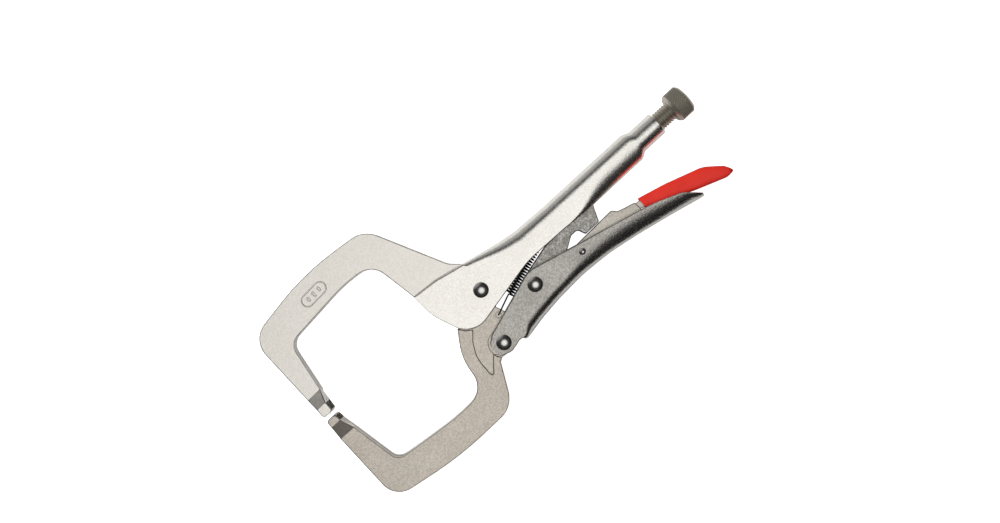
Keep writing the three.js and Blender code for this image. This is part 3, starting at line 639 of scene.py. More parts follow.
class MaterialBench:
    """One material under construction: its node tree, its shader and short ways to feed them."""

    def __init__(self, name: str) -> None:
        """Makes an empty material with a Principled shader."""
        self.material = bpy.data.materials.new(name)
        self.material.use_nodes = True
        self.tree = self.material.node_tree
        self.shader = next(n for n in self.tree.nodes if n.type == "BSDF_PRINCIPLED")

    def effect(self, effect: Effect, **values: float) -> bpy.types.Node:
        """Places a shared effect with its own input values."""
        node = self.tree.nodes.new("ShaderNodeGroup")
        node.node_tree = effect.tree()
        for label, value in values.items():
            node.inputs[label].default_value = value
        return node

    def mix(self, share: bpy.types.NodeSocket, low: object, high: Colour) -> bpy.types.NodeSocket:
        """Colour between two colours, by a share; the low one may be a socket."""
        node = self.tree.nodes.new("ShaderNodeMix")
        node.data_type = "RGBA"
        self.tree.links.new(share, node.inputs["Factor"])
        if isinstance(low, bpy.types.NodeSocket):
            self.tree.links.new(low, node.inputs["A"])
        else:
            node.inputs["A"].default_value = (*low, 1)
        node.inputs["B"].default_value = (*high, 1)
        return node.outputs["Result"]

    def feed(self, label: str, value: object) -> None:
        """Links a socket to the shader, or sets a plain value on it."""
        if isinstance(value, bpy.types.NodeSocket):
            self.tree.links.new(value, self.shader.inputs[label])
        else:
            self.shader.inputs[label].default_value = value

    def bump(self, height: bpy.types.NodeSocket, depth: float) -> None:
        """Raises the surface by a height of a given depth in millimetres."""
        node = self.tree.nodes.new("ShaderNodeBump")
        node.inputs["Distance"].default_value = depth * MM
        self.tree.links.new(height, node.inputs["Height"])
        self.tree.links.new(node.outputs[0], self.shader.inputs["Normal"])


@dataclass(frozen=True)
class MetalFinish:
    """Plated or bare steel: cloudy colour between two tones, a wall colour on edges and side walls that is
    partly rubbed wear and partly painted shade and reflection tone, blasted grain.
    """

    name: str
    light: Colour
    dark: Colour
    # colour of rounded edges and side walls: partly rubbed wear, partly painted shade and reflection tone
    rim: Colour
    roughness: float
    roughness_spread: float = 0.12
    rim_share: float = 0.7
    rim_lean: float = 0.35
    cloud_scale: float = 45.0
    cloud_contrast: float = 2.2
    grain_scale: float = 900.0
    grain_depth: float = 0.07
    scratch_share: float = 0.1
    speckle: float = 0.3  # how strongly the fine specks darken the plating
    speckle_scale: float = 1050.0
    groove_painted_shade: float = 0.0  # painted shade: how much darker the bottoms of its grooves are

    def material(self) -> bpy.types.Material:
        """Builds the material once and returns it."""
        known = bpy.data.materials.get(self.name)
        if known:
            return known
        bench = MaterialBench(self.name)
        cloud = bench.effect(Effect.MOTTLE, Scale=self.cloud_scale, Contrast=self.cloud_contrast)
        grain = bench.effect(Effect.GRAIN, Scale=self.grain_scale)
        lines = bench.effect(Effect.SCRATCHES)
        rim = bench.effect(Effect.RIM, Lean=self.rim_lean)
        edge_wear_and_wall_shade = math_node(bench.tree, "MULTIPLY", rim.outputs["Mask"], self.rim_share)
        scratched = math_node(bench.tree, "MULTIPLY", lines.outputs["Mask"], self.scratch_share)
        plating = bench.mix(cloud.outputs["Mask"], self.dark, self.light)
        speck = bench.effect(Effect.MOTTLE, Scale=self.speckle_scale, Contrast=5.0)
        specks = math_node(bench.tree, "MULTIPLY", speck.outputs["Mask"], self.speckle)
        plating = bench.mix(specks, plating, tuple(0.35 * level for level in self.dark))
        # painted shade and reflection tone on the side walls, with rubbed-edge wear, by how far the surface
        # leans
        plating = bench.mix(edge_wear_and_wall_shade, plating, self.rim)
        plating = bench.mix(scratched, plating, self.rim)
        if self.groove_painted_shade:
            # painted shade: groove bottoms are mixed towards near black by their depth
            groove = bench.tree.nodes.new("ShaderNodeAttribute")
            groove.attribute_name = "hollow"
            groove_shade_share = math_node(bench.tree, "MULTIPLY", groove.outputs["Fac"], self.groove_painted_shade)
            plating = bench.mix(groove_shade_share, plating, (0.03, 0.027, 0.022))
        bench.feed("Base Color", plating)
        bench.feed("Metallic", 1.0)
        varied = math_node(bench.tree, "MULTIPLY", grain.outputs["Mask"], self.roughness_spread)
        worn = math_node(bench.tree, "MULTIPLY", edge_wear_and_wall_shade, -0.5 * self.roughness)
        rough = math_node(bench.tree, "ADD", math_node(bench.tree, "ADD", varied, self.roughness), worn)
        bench.feed("Roughness", rough)
        bench.bump(grain.outputs["Height"], self.grain_depth)
        return bench.material


@dataclass(frozen=True)
class VinylFinish:
    """Dipped vinyl: soft gloss, faint unevenness and slightly dusty patches."""

    name: str
    colour: Colour
    shade: Colour
    roughness: float

    def material(self) -> bpy.types.Material:
        """Builds the material once and returns it."""
        known = bpy.data.materials.get(self.name)
        if known:
            return known
        bench = MaterialBench(self.name)
        cloud = bench.effect(Effect.MOTTLE, Scale=70.0, Contrast=2.5)
        grain = bench.effect(Effect.GRAIN, Scale=350.0)
        bench.feed("Base Color", bench.mix(cloud.outputs["Mask"], self.shade, self.colour))
        spread = math_node(bench.tree, "MULTIPLY", grain.outputs["Mask"], 0.15)
        bench.feed("Roughness", math_node(bench.tree, "ADD", spread, self.roughness))
        bench.feed("Specular IOR Level", 0.3)
        bench.bump(grain.outputs["Height"], 0.04)
        return bench.material


HANDLE_NICKEL = MetalFinish(
    "bright_handle_nickel", (0.98, 0.95, 0.90), (0.90, 0.87, 0.81), (0.86, 0.83, 0.78), 0.25,
    rim_share=0.3, speckle=0.14,
)
# painted shade: the handles' nickel made darker for the lower handle, standing in for the shade and darker
# reflections on its flanks
LOWER_NICKEL_SHADED = MetalFinish(
    "painted_shade_lower_nickel", (0.58, 0.55, 0.51), (0.40, 0.38, 0.35), (0.62, 0.60, 0.57), 0.25,
    speckle=0.42, grain_depth=0.1,
)
JAW_NICKEL = MetalFinish(
    "fixed_jaw_nickel", (1.0, 0.96, 0.89), (0.97, 0.93, 0.85), (0.80, 0.78, 0.74), 0.33,
    rim_share=0.8, speckle=0.12,
)
MOVING_NICKEL = MetalFinish(
    "moving_jaw_nickel", (0.78, 0.71, 0.62), (0.64, 0.58, 0.50), (0.74, 0.71, 0.66), 0.35,
    rim_share=0.8, speckle=0.3,
)
LEVER_NICKEL = MetalFinish(
    "release_lever_nickel", (0.74, 0.69, 0.61), (0.60, 0.56, 0.49), (0.40, 0.38, 0.35), 0.34,
    speckle=0.3,
)
LINK_STEEL = MetalFinish(
    "rough_link_steel", (1.0, 0.97, 0.91), (0.60, 0.57, 0.52), (0.45, 0.43, 0.4), 0.45, 0.2,
    cloud_scale=240.0, cloud_contrast=3.0, speckle=0.6, grain_depth=0.14,
)
SCREW_STEEL = MetalFinish(
    "screw_steel", (0.92, 0.86, 0.76), (0.74, 0.69, 0.60), (0.95, 0.90, 0.82), 0.32,
    groove_painted_shade=0.8, speckle=0.2,
)
POLISHED_STEEL = MetalFinish(
    "polished_rivet_steel", (0.85, 0.83, 0.79), (0.75, 0.73, 0.7), (0.9, 0.88, 0.84), 0.22,
    0.05, grain_depth=0.006, speckle=0.1,
)
SPRING_BLACK = MetalFinish(
    "blackened_spring_wire", (0.03, 0.03, 0.032), (0.015, 0.015, 0.016), (0.1, 0.1, 0.1), 0.35,
)
RED_VINYL = VinylFinish("red_dipped_vinyl", (0.98, 0.045, 0.028), (0.88, 0.034, 0.021), 0.42)


def dress(
    piece: bpy.types.Object, finish: MetalFinish | VinylFinish, body: str, slot: str, *nodes: str
) -> None:
    """Gives a piece its finish and ties it to the frame.

    Args:
        piece: the mesh object.
        finish: what covers it.
        body: CAD body that it rides on.
        slot: material slot of the record; not used.
        nodes: CAD nodes that it stands for.
    """
    piece.data.materials.append(finish.material())
    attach(piece, body)
    if nodes:
        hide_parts(*nodes)
    logger.info("%s: %d faces, rides on %s", piece.name, len(piece.data.polygons), body)


# ---- jaws ----


@dataclass(frozen=True)
class TipGrind:
    """Jaw tip that is ground down on both faces: thin to the nose, then a straight slope to full thickness;
    its throat side is bevelled from the mid plane to both faces."""

    face_y: float  # height of the clamping face
    direction: int  # 1 if the jaw lies above its clamping face, -1 if below
    nose: float = 6.25
    length: float = 14.2
    thin: float = 0.5  # thickness of the nose as a share of the jaw's
    reach_x: float = 20.0  # only what lies before this is ground
    bevel: float = 2.9  # how far the nose's faces stop short of the outline on the throat side
    throat_x: float = 1.5  # the throat side lies behind this

    def back(self, points: Array) -> Array:
        """Distance of points behind the clamping face; far behind it outside the tip."""
        return np.where(points[:, 0] < self.reach_x, self.direction * (points[:, 1] - self.face_y), 1e3)

    def share(self, points: Array) -> Array:
        """Share of the thickness left at points."""
        return np.interp(self.back(points), [self.nose, self.length], [self.thin, 1])

    def bevel_at(self, points: Array) -> Array:
        """Width of the bevel at points: full along the nose, and running out at the end of the slope."""
        width = np.interp(self.back(points), [self.nose, self.length], [self.bevel, 0])
        return width * (points[:, 0] > self.throat_x)

    def facets(self, points: Array) -> list[Array]:
        """Which outline points bound the nose, the slope and the rest; a point on a fold bounds both."""
        back, slack = self.back(points), 0.02
        slope = (back >= self.nose - slack) & (back <= self.length + slack)
        return [back <= self.nose + slack, slope, back >= self.length - slack]


@dataclass
class FixedJaw:
    """Upper C jaw: one forged plate with a ground tip, an oval mark on its face and a tang in the handle."""

    outline: Sequence[Corner] = (
        (-3.1, 0, 2.4), (6.3, 0, 2.2), (6.8, 6.25), (7.6, 14.2), (12.8, 45, 8), (58.45, 49.3, 120),
        (78.2, 46.9, 12), (83.5, 15), (84.6, 4), (114.8, 4), (120.8, 8.6), (118, 11.0), (111, 17.4, 12),
        (88.2, 65.3, 16), (45.1, 69.8, 160), (-2.5, 61.9, 14), (-2.5, 14.2), (-2.8, 6.25),
    )
    tang: Sequence[Corner] = (
        (85.2, 14), (87.6, -6.2, 1), (88.8, -11), (106.4, 2.8, 2), (116.4, 5.2), (116.4, 11), (110, 14),
    )
    rounding: float = 0.7
    grind: TipGrind = TipGrind(0.0, 1)
    mark_centre: tuple[float, float] = (42.0, 57.0)
    mark_size: tuple[float, float] = (17.2, 7.2)
    mark_tilt: float = 3.0
    bars: Sequence[tuple[float, float]] = ((-4.2, 2.6), (0.0, 3.4), (4.2, 2.6))  # places and lengths
    bar_width: float = 1.2

    def plate(self) -> Shape:
        """The jaw itself."""
        return plate(self.outline, JAW_HALF, self.rounding, self.grind)

    def mark(self) -> Shape:
        """Oval raised line with three plain raised bars in it."""
        (x, y), (width, height) = self.mark_centre, self.mark_size
        oval = rounded(box_corners(x, y, width, height, height / 2), 17)
        made = closed_bead(oval, JAW_HALF - 0.02, 0.42)
        for shift, length in self.bars:
            bar = rounded(box_corners(x + shift, y, self.bar_width, length, self.bar_width / 2))
            made = made + closed_bead(bar, JAW_HALF - 0.05, 0.3)
        return made.turned_by(self.mark_tilt, np.array(self.mark_centre))

    def build(self) -> None:
        """Makes the jaw with its tang and mark."""
        tang = plate(self.tang, JAW_HALF - 0.5, 0.5)
        jaw = (self.plate() + tang + self.mark()).store("fixed_jaw_forging", FACET_CREASE)
        dress(jaw, JAW_NICKEL, "fixed_frame", "nickel_jaw", "fixed_jaw")


@dataclass
class MovingJaw:
    """Lower C jaw: a full plate, and a thinner web that shows in the pocket and runs between the cheeks."""

    outline: Sequence[Corner] = (
        (5.9, MOVING_FACE_Y, 2.2), (-3.3, MOVING_FACE_Y, 2.4), (-3.4, MOVING_FACE_Y - 4.6),
        (-3.5, MOVING_FACE_Y - 13.2), (-3.57, -62.2, 13), (41.75, -69.7, 250),
        (82.3, -69, 15), (95.4, -44.3, 3.5), (97.8, -44.0, 0.5), (95.6, -41.2, 4), (95.1, -38.4, 0.5),
        (86.7, -47.7, 0.9), (86.0, -45.6, 2), (86.4, -34.5, 20), (90.8, -26.2, 12), (95.9, -20.6, 0.3),
        (92.0, -17.7, 12), (89.3, -14.0, 0.3), (79.5, -28.3, 40), (76.9, -50.3, 14), (55.1, -51.2, 120),
        (12.9, -46.6, 7), (7.1, MOVING_FACE_Y - 13.2), (6.2, MOVING_FACE_Y - 4.6),
    )
    web: Sequence[Corner] = (
        (90.0, -48.0, 1), (97.6, -43.9, 1), (104.0, -44.6, 5), (113.4, -43.0, 6), (116.2, -24.9, 0.6),
        (114.2, -19.9, 0.6), (120.4, -16.2, 3), (125.8, -8, 9), (119, 3.5, 9), (107.8, 1.8, 8), (91.2, -13.6),
        (84.0, -27.0, 6), (82.0, -48.0, 2),
    )
    boss: Sequence[Corner] = (
        (97.0, -41.5, 1), (112.0, -36.0, 1), (114.5, -26.4, 1), (106.2, -29.0, 6), (97.9, -30.3, 6),
        (94.9, -34.8, 5), (94.9, -39.6, 1),
    )
    web_half: float = 4.4
    boss_half: float = 4.9
    rounding: float = 0.7
    grind: TipGrind = TipGrind(MOVING_FACE_Y, -1, 4.6, 13.2)
    eye: tuple[float, float] = (112.3, -24.4)
    eye_radius: float = 1.35

    def plates(self) -> Shape:
        """Full plate, web and the boss round the handle pivot."""
        made = plate(self.outline, JAW_HALF, self.rounding, self.grind) + plate(self.web, self.web_half, 0.3)
        return made + plate(self.boss, self.boss_half, 0.45)

    def eyelet(self) -> Shape:
        """Raised ring round the hole that the spring hooks into, on both faces."""
        angle = np.linspace(0, 2 * np.pi, 14)
        height, radius = 0.25 * np.sin(angle), 0.35 + 0.35 * np.cos(angle)
        ring = np.stack([self.web_half + height, self.eye_radius + radius], -1)
        one = turned(ring, Axis.Z, (*self.eye, 0), 40)
        return one + one.mirrored()

    def build(self) -> None:
        """Makes the jaw and its eyelet."""
        jaw = self.plates().store("moving_jaw_forging", FACET_CREASE)
        dress(jaw, MOVING_NICKEL, "moving_jaw", "nickel_jaw", "moving_jaw")
        eyelet = self.eyelet().store("spring_eyelet")
        dress(eyelet, POLISHED_STEEL, "moving_jaw", "nickel_jaw")


# ---- handles ----


@dataclass
class FixedHandle:
    """Upper handle: sheet folded over at the ridge, open below for the linkage, rolled to a barrel
    behind."""

    ridge: Sequence[Corner] = (
        (83.15, 16.8), (100.0, 15.4), (113.8, 12.5), (124.8, 10.2), (139.8, 7.0), (151.8, 5.2), (173.8, 4.4),
        (234.8, 4.2), (256, 4.2),
    )
    lobe: Sequence[Corner] = ((83.1, 15.9), (84.1, 0.5, 30), (93.6, -23.8, 15), (118.0, -18.75))
    underside: Sequence[Corner] = (
        (118.0, -18.75), (146.3, -13.0, 60), (175.8, -13.6), (190.8, -14.7), (256, -14.7),
    )
    lobe_end: float = 118.0
    slot_end: float = 117.4
    wall: float = 2.1
    barrel_wall: float = 1.35
    thinning: tuple[float, float] = (195.0, 230.0)
    front_bend: float = 2.6
    bending: tuple[float, float] = (108.0, 152.0)  # where the ridge's bend grows to half the width
    oval: tuple[float, float] = (150.0, 195.0)
    upper_share: float = 0.36  # share of an oval section's height that its upper bend takes
    lower_share: float = 0.62
    shoulder: tuple[float, float] = (234.8, 240.8)
    barrel_end: float = 255.8
    roll: tuple[float, float] = (177.0, 215.0)
    mouth_half: float = 4.3
    seam_half: float = 0.05

    def rows(self) -> FoldedSheet:
        """Rows of the sheet: a fan round the jaw lobe, then upright sections to the end of the barrel."""
        fan = np.linspace(0, 1, 44)[:-1] ** 1.15
        ridge = open_line(self.ridge)
        lobe_ridge = ridge[ridge[:, 0] < self.lobe_end]
        lobe_ridge = np.concatenate([lobe_ridge, [[self.lobe_end, np.interp(self.lobe_end, *ridge.T)]]])
        x = np.concatenate([
            [self.lobe_end],
            np.linspace(self.lobe_end, self.shoulder[0], 60)[1:],
            np.linspace(*self.shoulder, 12)[1:],
            np.linspace(self.shoulder[1], self.barrel_end - 0.7, 6)[1:],
            self.barrel_end - 0.7 * (1 - np.sin(np.linspace(0, np.pi / 2, 6)[1:])),
        ])
        rear = smooth(x, *self.shoulder)
        end = 0.7 * (1 - np.sqrt(np.clip(1 - ((x - self.barrel_end + 0.7) / 0.7).clip(0, 1) ** 2, 0, 1)))
        top = np.interp(x, *ridge.T) * (1 - rear) + (SCREW_AXIS_Y + HANDLE_HALF) * rear - end
        under = np.interp(x, *open_line(self.underside).T)
        bottom = under * (1 - rear) + (SCREW_AXIS_Y - HANDLE_HALF) * rear + end
        upper = np.concatenate([along(lobe_ridge, fan), np.stack([x, top], -1)])
        lower = np.concatenate([along(open_line(self.lobe), fan), np.stack([x, bottom], -1)])
        half = np.concatenate([np.full(len(fan), HANDLE_HALF), HANDLE_HALF - end])
        along_x = upper[:, 0]
        tall = np.linalg.norm(upper - lower, axis=1)
        limit = tall / 2 - 0.05
        bend = self.front_bend + (HANDLE_HALF - self.front_bend) * smooth(along_x, *self.bending)
        rolled = smooth(along_x, *self.roll)
        shut = np.where(along_x > self.roll[1], 0.0, 1.0)
        upper_bend, lower_bend = np.minimum(np.minimum(bend, half), limit), np.minimum(half, limit)
        oval = smooth(along_x, *self.oval) * (1 - smooth(along_x, *self.shoulder))
        return FoldedSheet(
            upper=upper,
            lower=lower,
            half=half,
            wall=self.wall + (self.barrel_wall - self.wall) * smooth(along_x, *self.thinning),
            upper_edge=SheetEdge(
                bend=upper_bend,
                reach=upper_bend + (tall * self.upper_share - upper_bend) * oval,
                curl=np.where(along_x < self.slot_end, 0.0, 1.0),
                foot=0 * along_x,
                rounding=np.minimum(1.25 + 0.4 * smooth(along_x, 84, 112), tall * 0.3),
            ),
            lower_edge=SheetEdge(
                bend=lower_bend,
                reach=lower_bend + (tall * self.lower_share - lower_bend) * oval,
                curl=rolled,
                foot=(self.mouth_half + (self.seam_half - self.mouth_half) * rolled) * shut,
                rounding=np.minimum(0.7, tall * 0.3),
            ),
            lean=0 * along_x,
        )

    def build(self) -> None:
        """Makes the handle."""
        handle = self.rows().build().store("fixed_handle_sheet")
        dress(handle, HANDLE_NICKEL, "fixed_frame", "nickel_handle", "fixed_handle")


@dataclass
class LowerHandle:
    """Lower handle: two ears on the handle pivot, joined behind them by a round spine along the
    underside."""

    back: Sequence[Corner] = (
        (96.85, -38.0), (96.8, -33.7, 5.6), (102, -30, 6), (142, -17.2, 14), (222, -37.3, 60),
        (238.4, -43.9, 12), (247.1, -52.2),
    )
    ear_under: Sequence[Corner] = ((96.85, -38.5), (96.9, -42.9, 6), (104, -45.1, 6), (108.5, -44.2))
    belly: Sequence[Corner] = (
        (108.5, -44.2), (111.2, -43.3, 3), (113.7, -43.4, 1.2), (115.2, -45.7, 1.5), (120, -45.2, 10),
        (130, -43.3, 40), (145, -41.5, 60), (165, -40.5, 90), (185, -41.9, 90), (205, -45.4, 120),
        (225, -49.6, 120), (243.5, -53.9, 20), (247.6, -54.6),
    )
    split: float = 108.5
    spine_start: float = 114.6
    oval: tuple[float, float] = (150.0, 205.0)
    lower_share: float = 0.84  # share of an oval section's height that its bend takes
    leaning: tuple[float, float] = (158.0, 198.0)
    most_lean: float = 0.27
    front_bend: float = 2.6
    rear_bend: float = 7.3
    wall: float = 2.1
    tail: float = 247.2

    def rows(self) -> FoldedSheet:
        """Rows of the sheet: a fan round the ears, then upright sections to the tail."""
        fan = np.linspace(0, 1, 36)[:-1]
        back = open_line(self.back)
        at = int(np.argmax(back[:, 0] > self.split))
        front = np.concatenate([back[:at], [[self.split, np.interp(self.split, *back[at - 1 : at + 1].T)]]])
        x = np.concatenate([
            np.linspace(self.split, self.spine_start, 22),
            [self.spine_start + 0.25],
            np.linspace(self.spine_start + 0.5, 122, 18),
            np.linspace(122, 236, 70)[1:],
            np.linspace(236, self.tail, 22)[1:],
        ])
        top = np.interp(x, *np.concatenate([front[-1:], back[at:]]).T)
        low = np.interp(x, *open_line(self.belly).T)
        upper = np.concatenate([along(front, fan), np.stack([x, top], -1)])
        lower = np.concatenate([along(open_line(self.ear_under), fan), np.stack([x, low], -1)])
        along_x = upper[:, 0]
        tall = np.linalg.norm(upper - lower, axis=1)
        half = HANDLE_HALF - 2.2 * smooth(along_x, self.tail - 5, self.tail + 1)
        spine = np.where(along_x > self.spine_start + 0.1, 1.0, 0.0)
        grown = smooth(along_x, self.spine_start, self.spine_start + 9)
        bend = self.front_bend + (self.rear_bend - self.front_bend) * grown
        lower_bend = np.minimum(np.minimum(bend, half), tall * 0.85)
        oval = smooth(along_x, *self.oval)
        plain, rounding = np.full(len(along_x), self.front_bend), np.minimum(0.75, tall * 0.15)
        return FoldedSheet(
            upper=upper,
            lower=lower,
            half=half,
            wall=np.full(len(along_x), self.wall),
            upper_edge=SheetEdge(plain, plain, 0 * along_x, 0 * along_x, rounding),
            lower_edge=SheetEdge(
                bend=lower_bend,
                reach=lower_bend + (tall * self.lower_share - lower_bend) * oval,
                curl=spine,
                foot=0 * along_x,
                rounding=rounding,
            ),
            lean=self.most_lean * smooth(along_x, *self.leaning),
        )

    def build(self) -> None:
        """Makes the handle."""
        handle = self.rows().build().store("lower_handle_sheet")
        dress(handle, LOWER_NICKEL_SHADED, "lower_handle", "nickel_handle", "lower_handle")


# ---- linkage ----


@dataclass
class Linkage:
    """Toggle link, release lever and the dipped sleeve on the lever's tail."""

    link: Sequence[Corner] = (
        (134.0, -33.0, 7), (150.0, -31.6, 8), (168.4, -23.0, 3), (174.5, -19.2, 2.6), (179.5, -19.2, 2.6),
        (181.5, -24.2, 0.8), (191.9, -24.2, 1), (196.0, -14.8, 4), (204.2, -9.4, 4.2), (204.2, -1.0, 4.2),
        (194.0, -1.0, 8), (174.0, -11.0, 20), (157.5, -13.6, 12), (142.0, -17.4, 6), (132.4, -21.6, 7),
    )
    lever: Sequence[Corner] = (
        (168.1, -35.2, 4.7), (215.2, -36.0, 0.6), (214.6, -29.9, 0.4), (208.5, -28.3, 8), (204.3, -27.0, 1),
        (201.4, -24.2, 0.8), (180.9, -24.8, 1), (168.1, -25.2, 4.7),
    )
    lever_tail: Sequence[Corner] = (
        (212.0, -34.0), (247.0, -47.0, 30), (262.0, -51.6, 1), (262.0, -48.0, 3), (255.0, -43.2, 14),
        (234.0, -35.6, 30), (217.0, -30.9), (212.0, -30.3),
    )
    sleeve_top: Sequence[Corner] = (
        (217.7, -29.4), (234.7, -33.8, 60), (257.9, -41.4, 16), (267.3, -49.2, 6), (270.3, -54.2),
    )
    sleeve_low: Sequence[Corner] = (
        (217.7, -37.0), (247.7, -49.6, 60), (264.2, -55.7, 5), (269.6, -55.9),
    )
    link_half: float = 3.5
    lever_half: float = 2.2
    sleeve_half: float = 3.55

    def sleeve(self) -> Shape:
        """Dipped sleeve: a soft box section between its upper and lower edges, closed to a rounded end.

        With a the angle round the section, a point lies cos(a)^0.55 of the way from the middle to an edge
        and sin(a)^0.55 of the half thickness high, signs kept.
        """
        closing = 1 - 0.03 * np.cos(np.linspace(0, np.pi / 2, 10)[1:])
        share = np.concatenate([[0], np.linspace(0, 0.97, 70), closing])
        top, low = along(open_line(self.sleeve_top), share), along(open_line(self.sleeve_low), share)
        grow = np.sqrt(np.clip(1 - ((0.035 - share) / 0.035).clip(0, 1) ** 2, 0, 1)) * 0.06 + 0.94
        grow[0] = 0.0
        grow = grow * np.sqrt(np.clip(1 - ((share - 0.93) / 0.07).clip(0, 1) ** 2.4, 0, 1))
        angle = np.linspace(0, 2 * np.pi, 48, endpoint=False)[None, :]
        across = np.sign(np.cos(angle)) * np.abs(np.cos(angle)) ** 0.55
        height = np.sign(np.sin(angle)) * np.abs(np.sin(angle)) ** 0.55
        middle, reach = (top + low) / 2, (top - low) / 2
        flat = middle[:, None] + reach[:, None] * across[..., None] * grow[:, None, None]
        z = self.sleeve_half * height * grow[:, None]
        points = np.concatenate([flat, z[..., None]], -1)
        return Shape(points.reshape(-1, 3), grid_faces(len(share), 48))

    def build(self) -> None:
        """Makes the three pieces."""
        link = plate(self.link, self.link_half, 0.8).store("toggle_link_forging")
        dress(link, LINK_STEEL, "toggle_link", "link_steel", "toggle_link")
        both = plate(self.lever, self.lever_half, 0.6) + plate(self.lever_tail, self.lever_half - 0.5, 0.5)
        lever = both.store("release_lever_plate")
        dress(lever, LEVER_NICKEL, "release_lever", "nickel_handle", "release_lever")
        sleeve = self.sleeve().store("red_lever_sleeve", 60)
        dress(sleeve, RED_VINYL, "release_lever", "red_vinyl", "release_lever_sleeve")


# ---- screw ----


@dataclass
class AdjustingScrew:
    """Adjusting screw with a knurled knob, and the snap ring in its groove."""

    thread_radius: float = 5.75
    thread_depth: float = 0.85
    pitch: float = 1.75
    shank: float = 4.7
    knob_radius: float = 9.3
    knob_length: float = 11.4
    thread_length: float = 38.8
    thread_rows: int = 330
    thread_sides: int = 56
    near_chamfer: float = 1.9
    far_chamfer: float = 1.4
    knurls: int = 32
    knurl_depth: float = 0.6
    knurl_steps: int = 12

    def thread(self) -> Shape:
        """Helical thread: the radius is the core plus the depth times a rounded triangle wave of the
        distance along the axis in pitches less the share of a turn."""
        knob_start = SCREW_HIGH[0] - self.knob_length
        start, end = knob_start - self.thread_length, knob_start + 0.3
        x = np.linspace(start, end, self.thread_rows)[:, None]
        turn = np.linspace(0, 1, self.thread_sides, endpoint=False)[None]
        phase = (x - start) / self.pitch - turn
        wave = 2 * np.abs(phase - np.floor(phase) - 0.5)
        fade = np.clip((x - start) / self.pitch, 0, 1)
        rise = self.thread_depth * np.sin(wave * np.pi / 2) ** 1.3
        radius = self.thread_radius - self.thread_depth + rise * fade
        radius[[0, -1]] = 0
        x = x + 0 * turn
        x[0], x[-1] = x[1], x[-2]
        angle = 2 * np.pi * turn
        points = np.stack([x, SCREW_AXIS_Y + radius * np.cos(angle), radius * np.sin(angle)], -1)
        faces = grid_faces(self.thread_rows, self.thread_sides)
        return Shape(points.reshape(-1, 3), faces, (1 - wave).ravel() ** 2)

    def shank_bar(self) -> Shape:
        """Plain front of the screw, with the ring's groove."""
        tip, groove = SCREW_LOW[0], 9.0
        profile = np.array([
            [0, 0], [0, self.shank - 1.2], [0.5, self.shank - 0.6], [1.2, self.shank - 0.1],
            [1.6, self.shank], [groove - 0.2, self.shank], [groove - 0.2, self.shank - 0.9],
            [groove + 1.4, self.shank - 0.9], [groove + 1.4, self.shank], [22.0, self.shank], [22.0, 0],
        ])
        return turned(profile + [tip, 0], Axis.X, (0, SCREW_AXIS_Y, 0))

    def knob(self) -> Shape:
        """Knurled knob: on its side, two sets of crossing helical grooves are cut into the cylinder.

        Each groove set is a triangle wave of the turn in knurls plus or minus the distance along the axis;
        the radius loses the knurl depth times the deeper of the two, fading out into the chamfers.
        """
        length, rim = self.knob_length, self.knob_radius
        near, far = self.near_chamfer, self.far_chamfer
        along_x = np.concatenate([
            [0, 0, 0.15, near - 0.2],
            np.linspace(near, length - far, 72),
            [length - far + 0.2, length - 0.15, length, length],
        ])
        side = np.interp(along_x, [0, 0.15, near, length - far, length - 0.15, length],
                         [rim - 2.0, rim - 1.55, rim, rim, rim - 1.3, rim - 1.5])
        side[-1] = side[0] = 0
        sides = self.knurls * self.knurl_steps
        turn = np.linspace(0, 1, sides, endpoint=False)[None]
        slope = self.knurls / (2 * np.pi * rim)
        phases = [turn * self.knurls + sign * along_x[:, None] * slope for sign in (-1, 1)]
        waves = [np.abs(phase % 1 - 0.5) * 2 for phase in phases]
        cut = np.maximum(1 - waves[0] * 1.5, 1 - waves[1] * 1.5).clip(0, 1)
        fade = smooth(along_x, near - 0.3, near + 0.4)
        fade = fade * (1 - smooth(along_x, length - far - 0.4, length - far + 0.3))
        radius = side[:, None] - self.knurl_depth * cut * fade[:, None]
        angle = 2 * np.pi * turn
        x = SCREW_HIGH[0] - length + along_x[:, None] + 0 * turn
        points = np.stack([x, SCREW_AXIS_Y + radius * np.cos(angle), radius * np.sin(angle)], -1)
        hollow = (cut * fade[:, None]).ravel()
        return Shape(points.reshape(-1, 3), grid_faces(len(along_x), sides), hollow)

    def snap_ring(self) -> Shape:
        """Open ring of flat wire: a rectangle-like loop carried round 315 degrees of the screw."""
        low, high = corners_of("screw_retaining_ring")
        middle, half = (low[0] + high[0]) / 2, (high[0] - low[0]) / 2
        outer, inner = (high[1] - low[1]) / 2, self.shank - 0.5
        angle = np.radians(np.linspace(-68, 248, 60))[:, None]
        x = np.array([-half, half, half, -half])[None] + middle
        radius = np.array([inner, inner, outer, outer])[None]
        points = np.stack([x + 0 * angle, SCREW_AXIS_Y + radius * np.sin(angle), radius * np.cos(angle)], -1)
        last = 4 * (len(angle) - 1)
        faces = grid_faces(len(angle), 4) + [[3, 2, 1, 0], [last, last + 1, last + 2, last + 3]]
        return Shape(points.reshape(-1, 3), faces)

    def build(self) -> None:
        """Makes the screw and its ring."""
        screw = (self.thread() + self.shank_bar() + self.knob()).store("knurled_adjusting_screw", 50)
        dress(screw, SCREW_STEEL, "adjusting_screw", "screw_steel", "adjusting_screw")
        ring = self.snap_ring().store("screw_snap_ring")
        dress(ring, SPRING_BLACK, "screw_ring", "spring_steel", "screw_retaining_ring")


# ---- rivets and spring ----


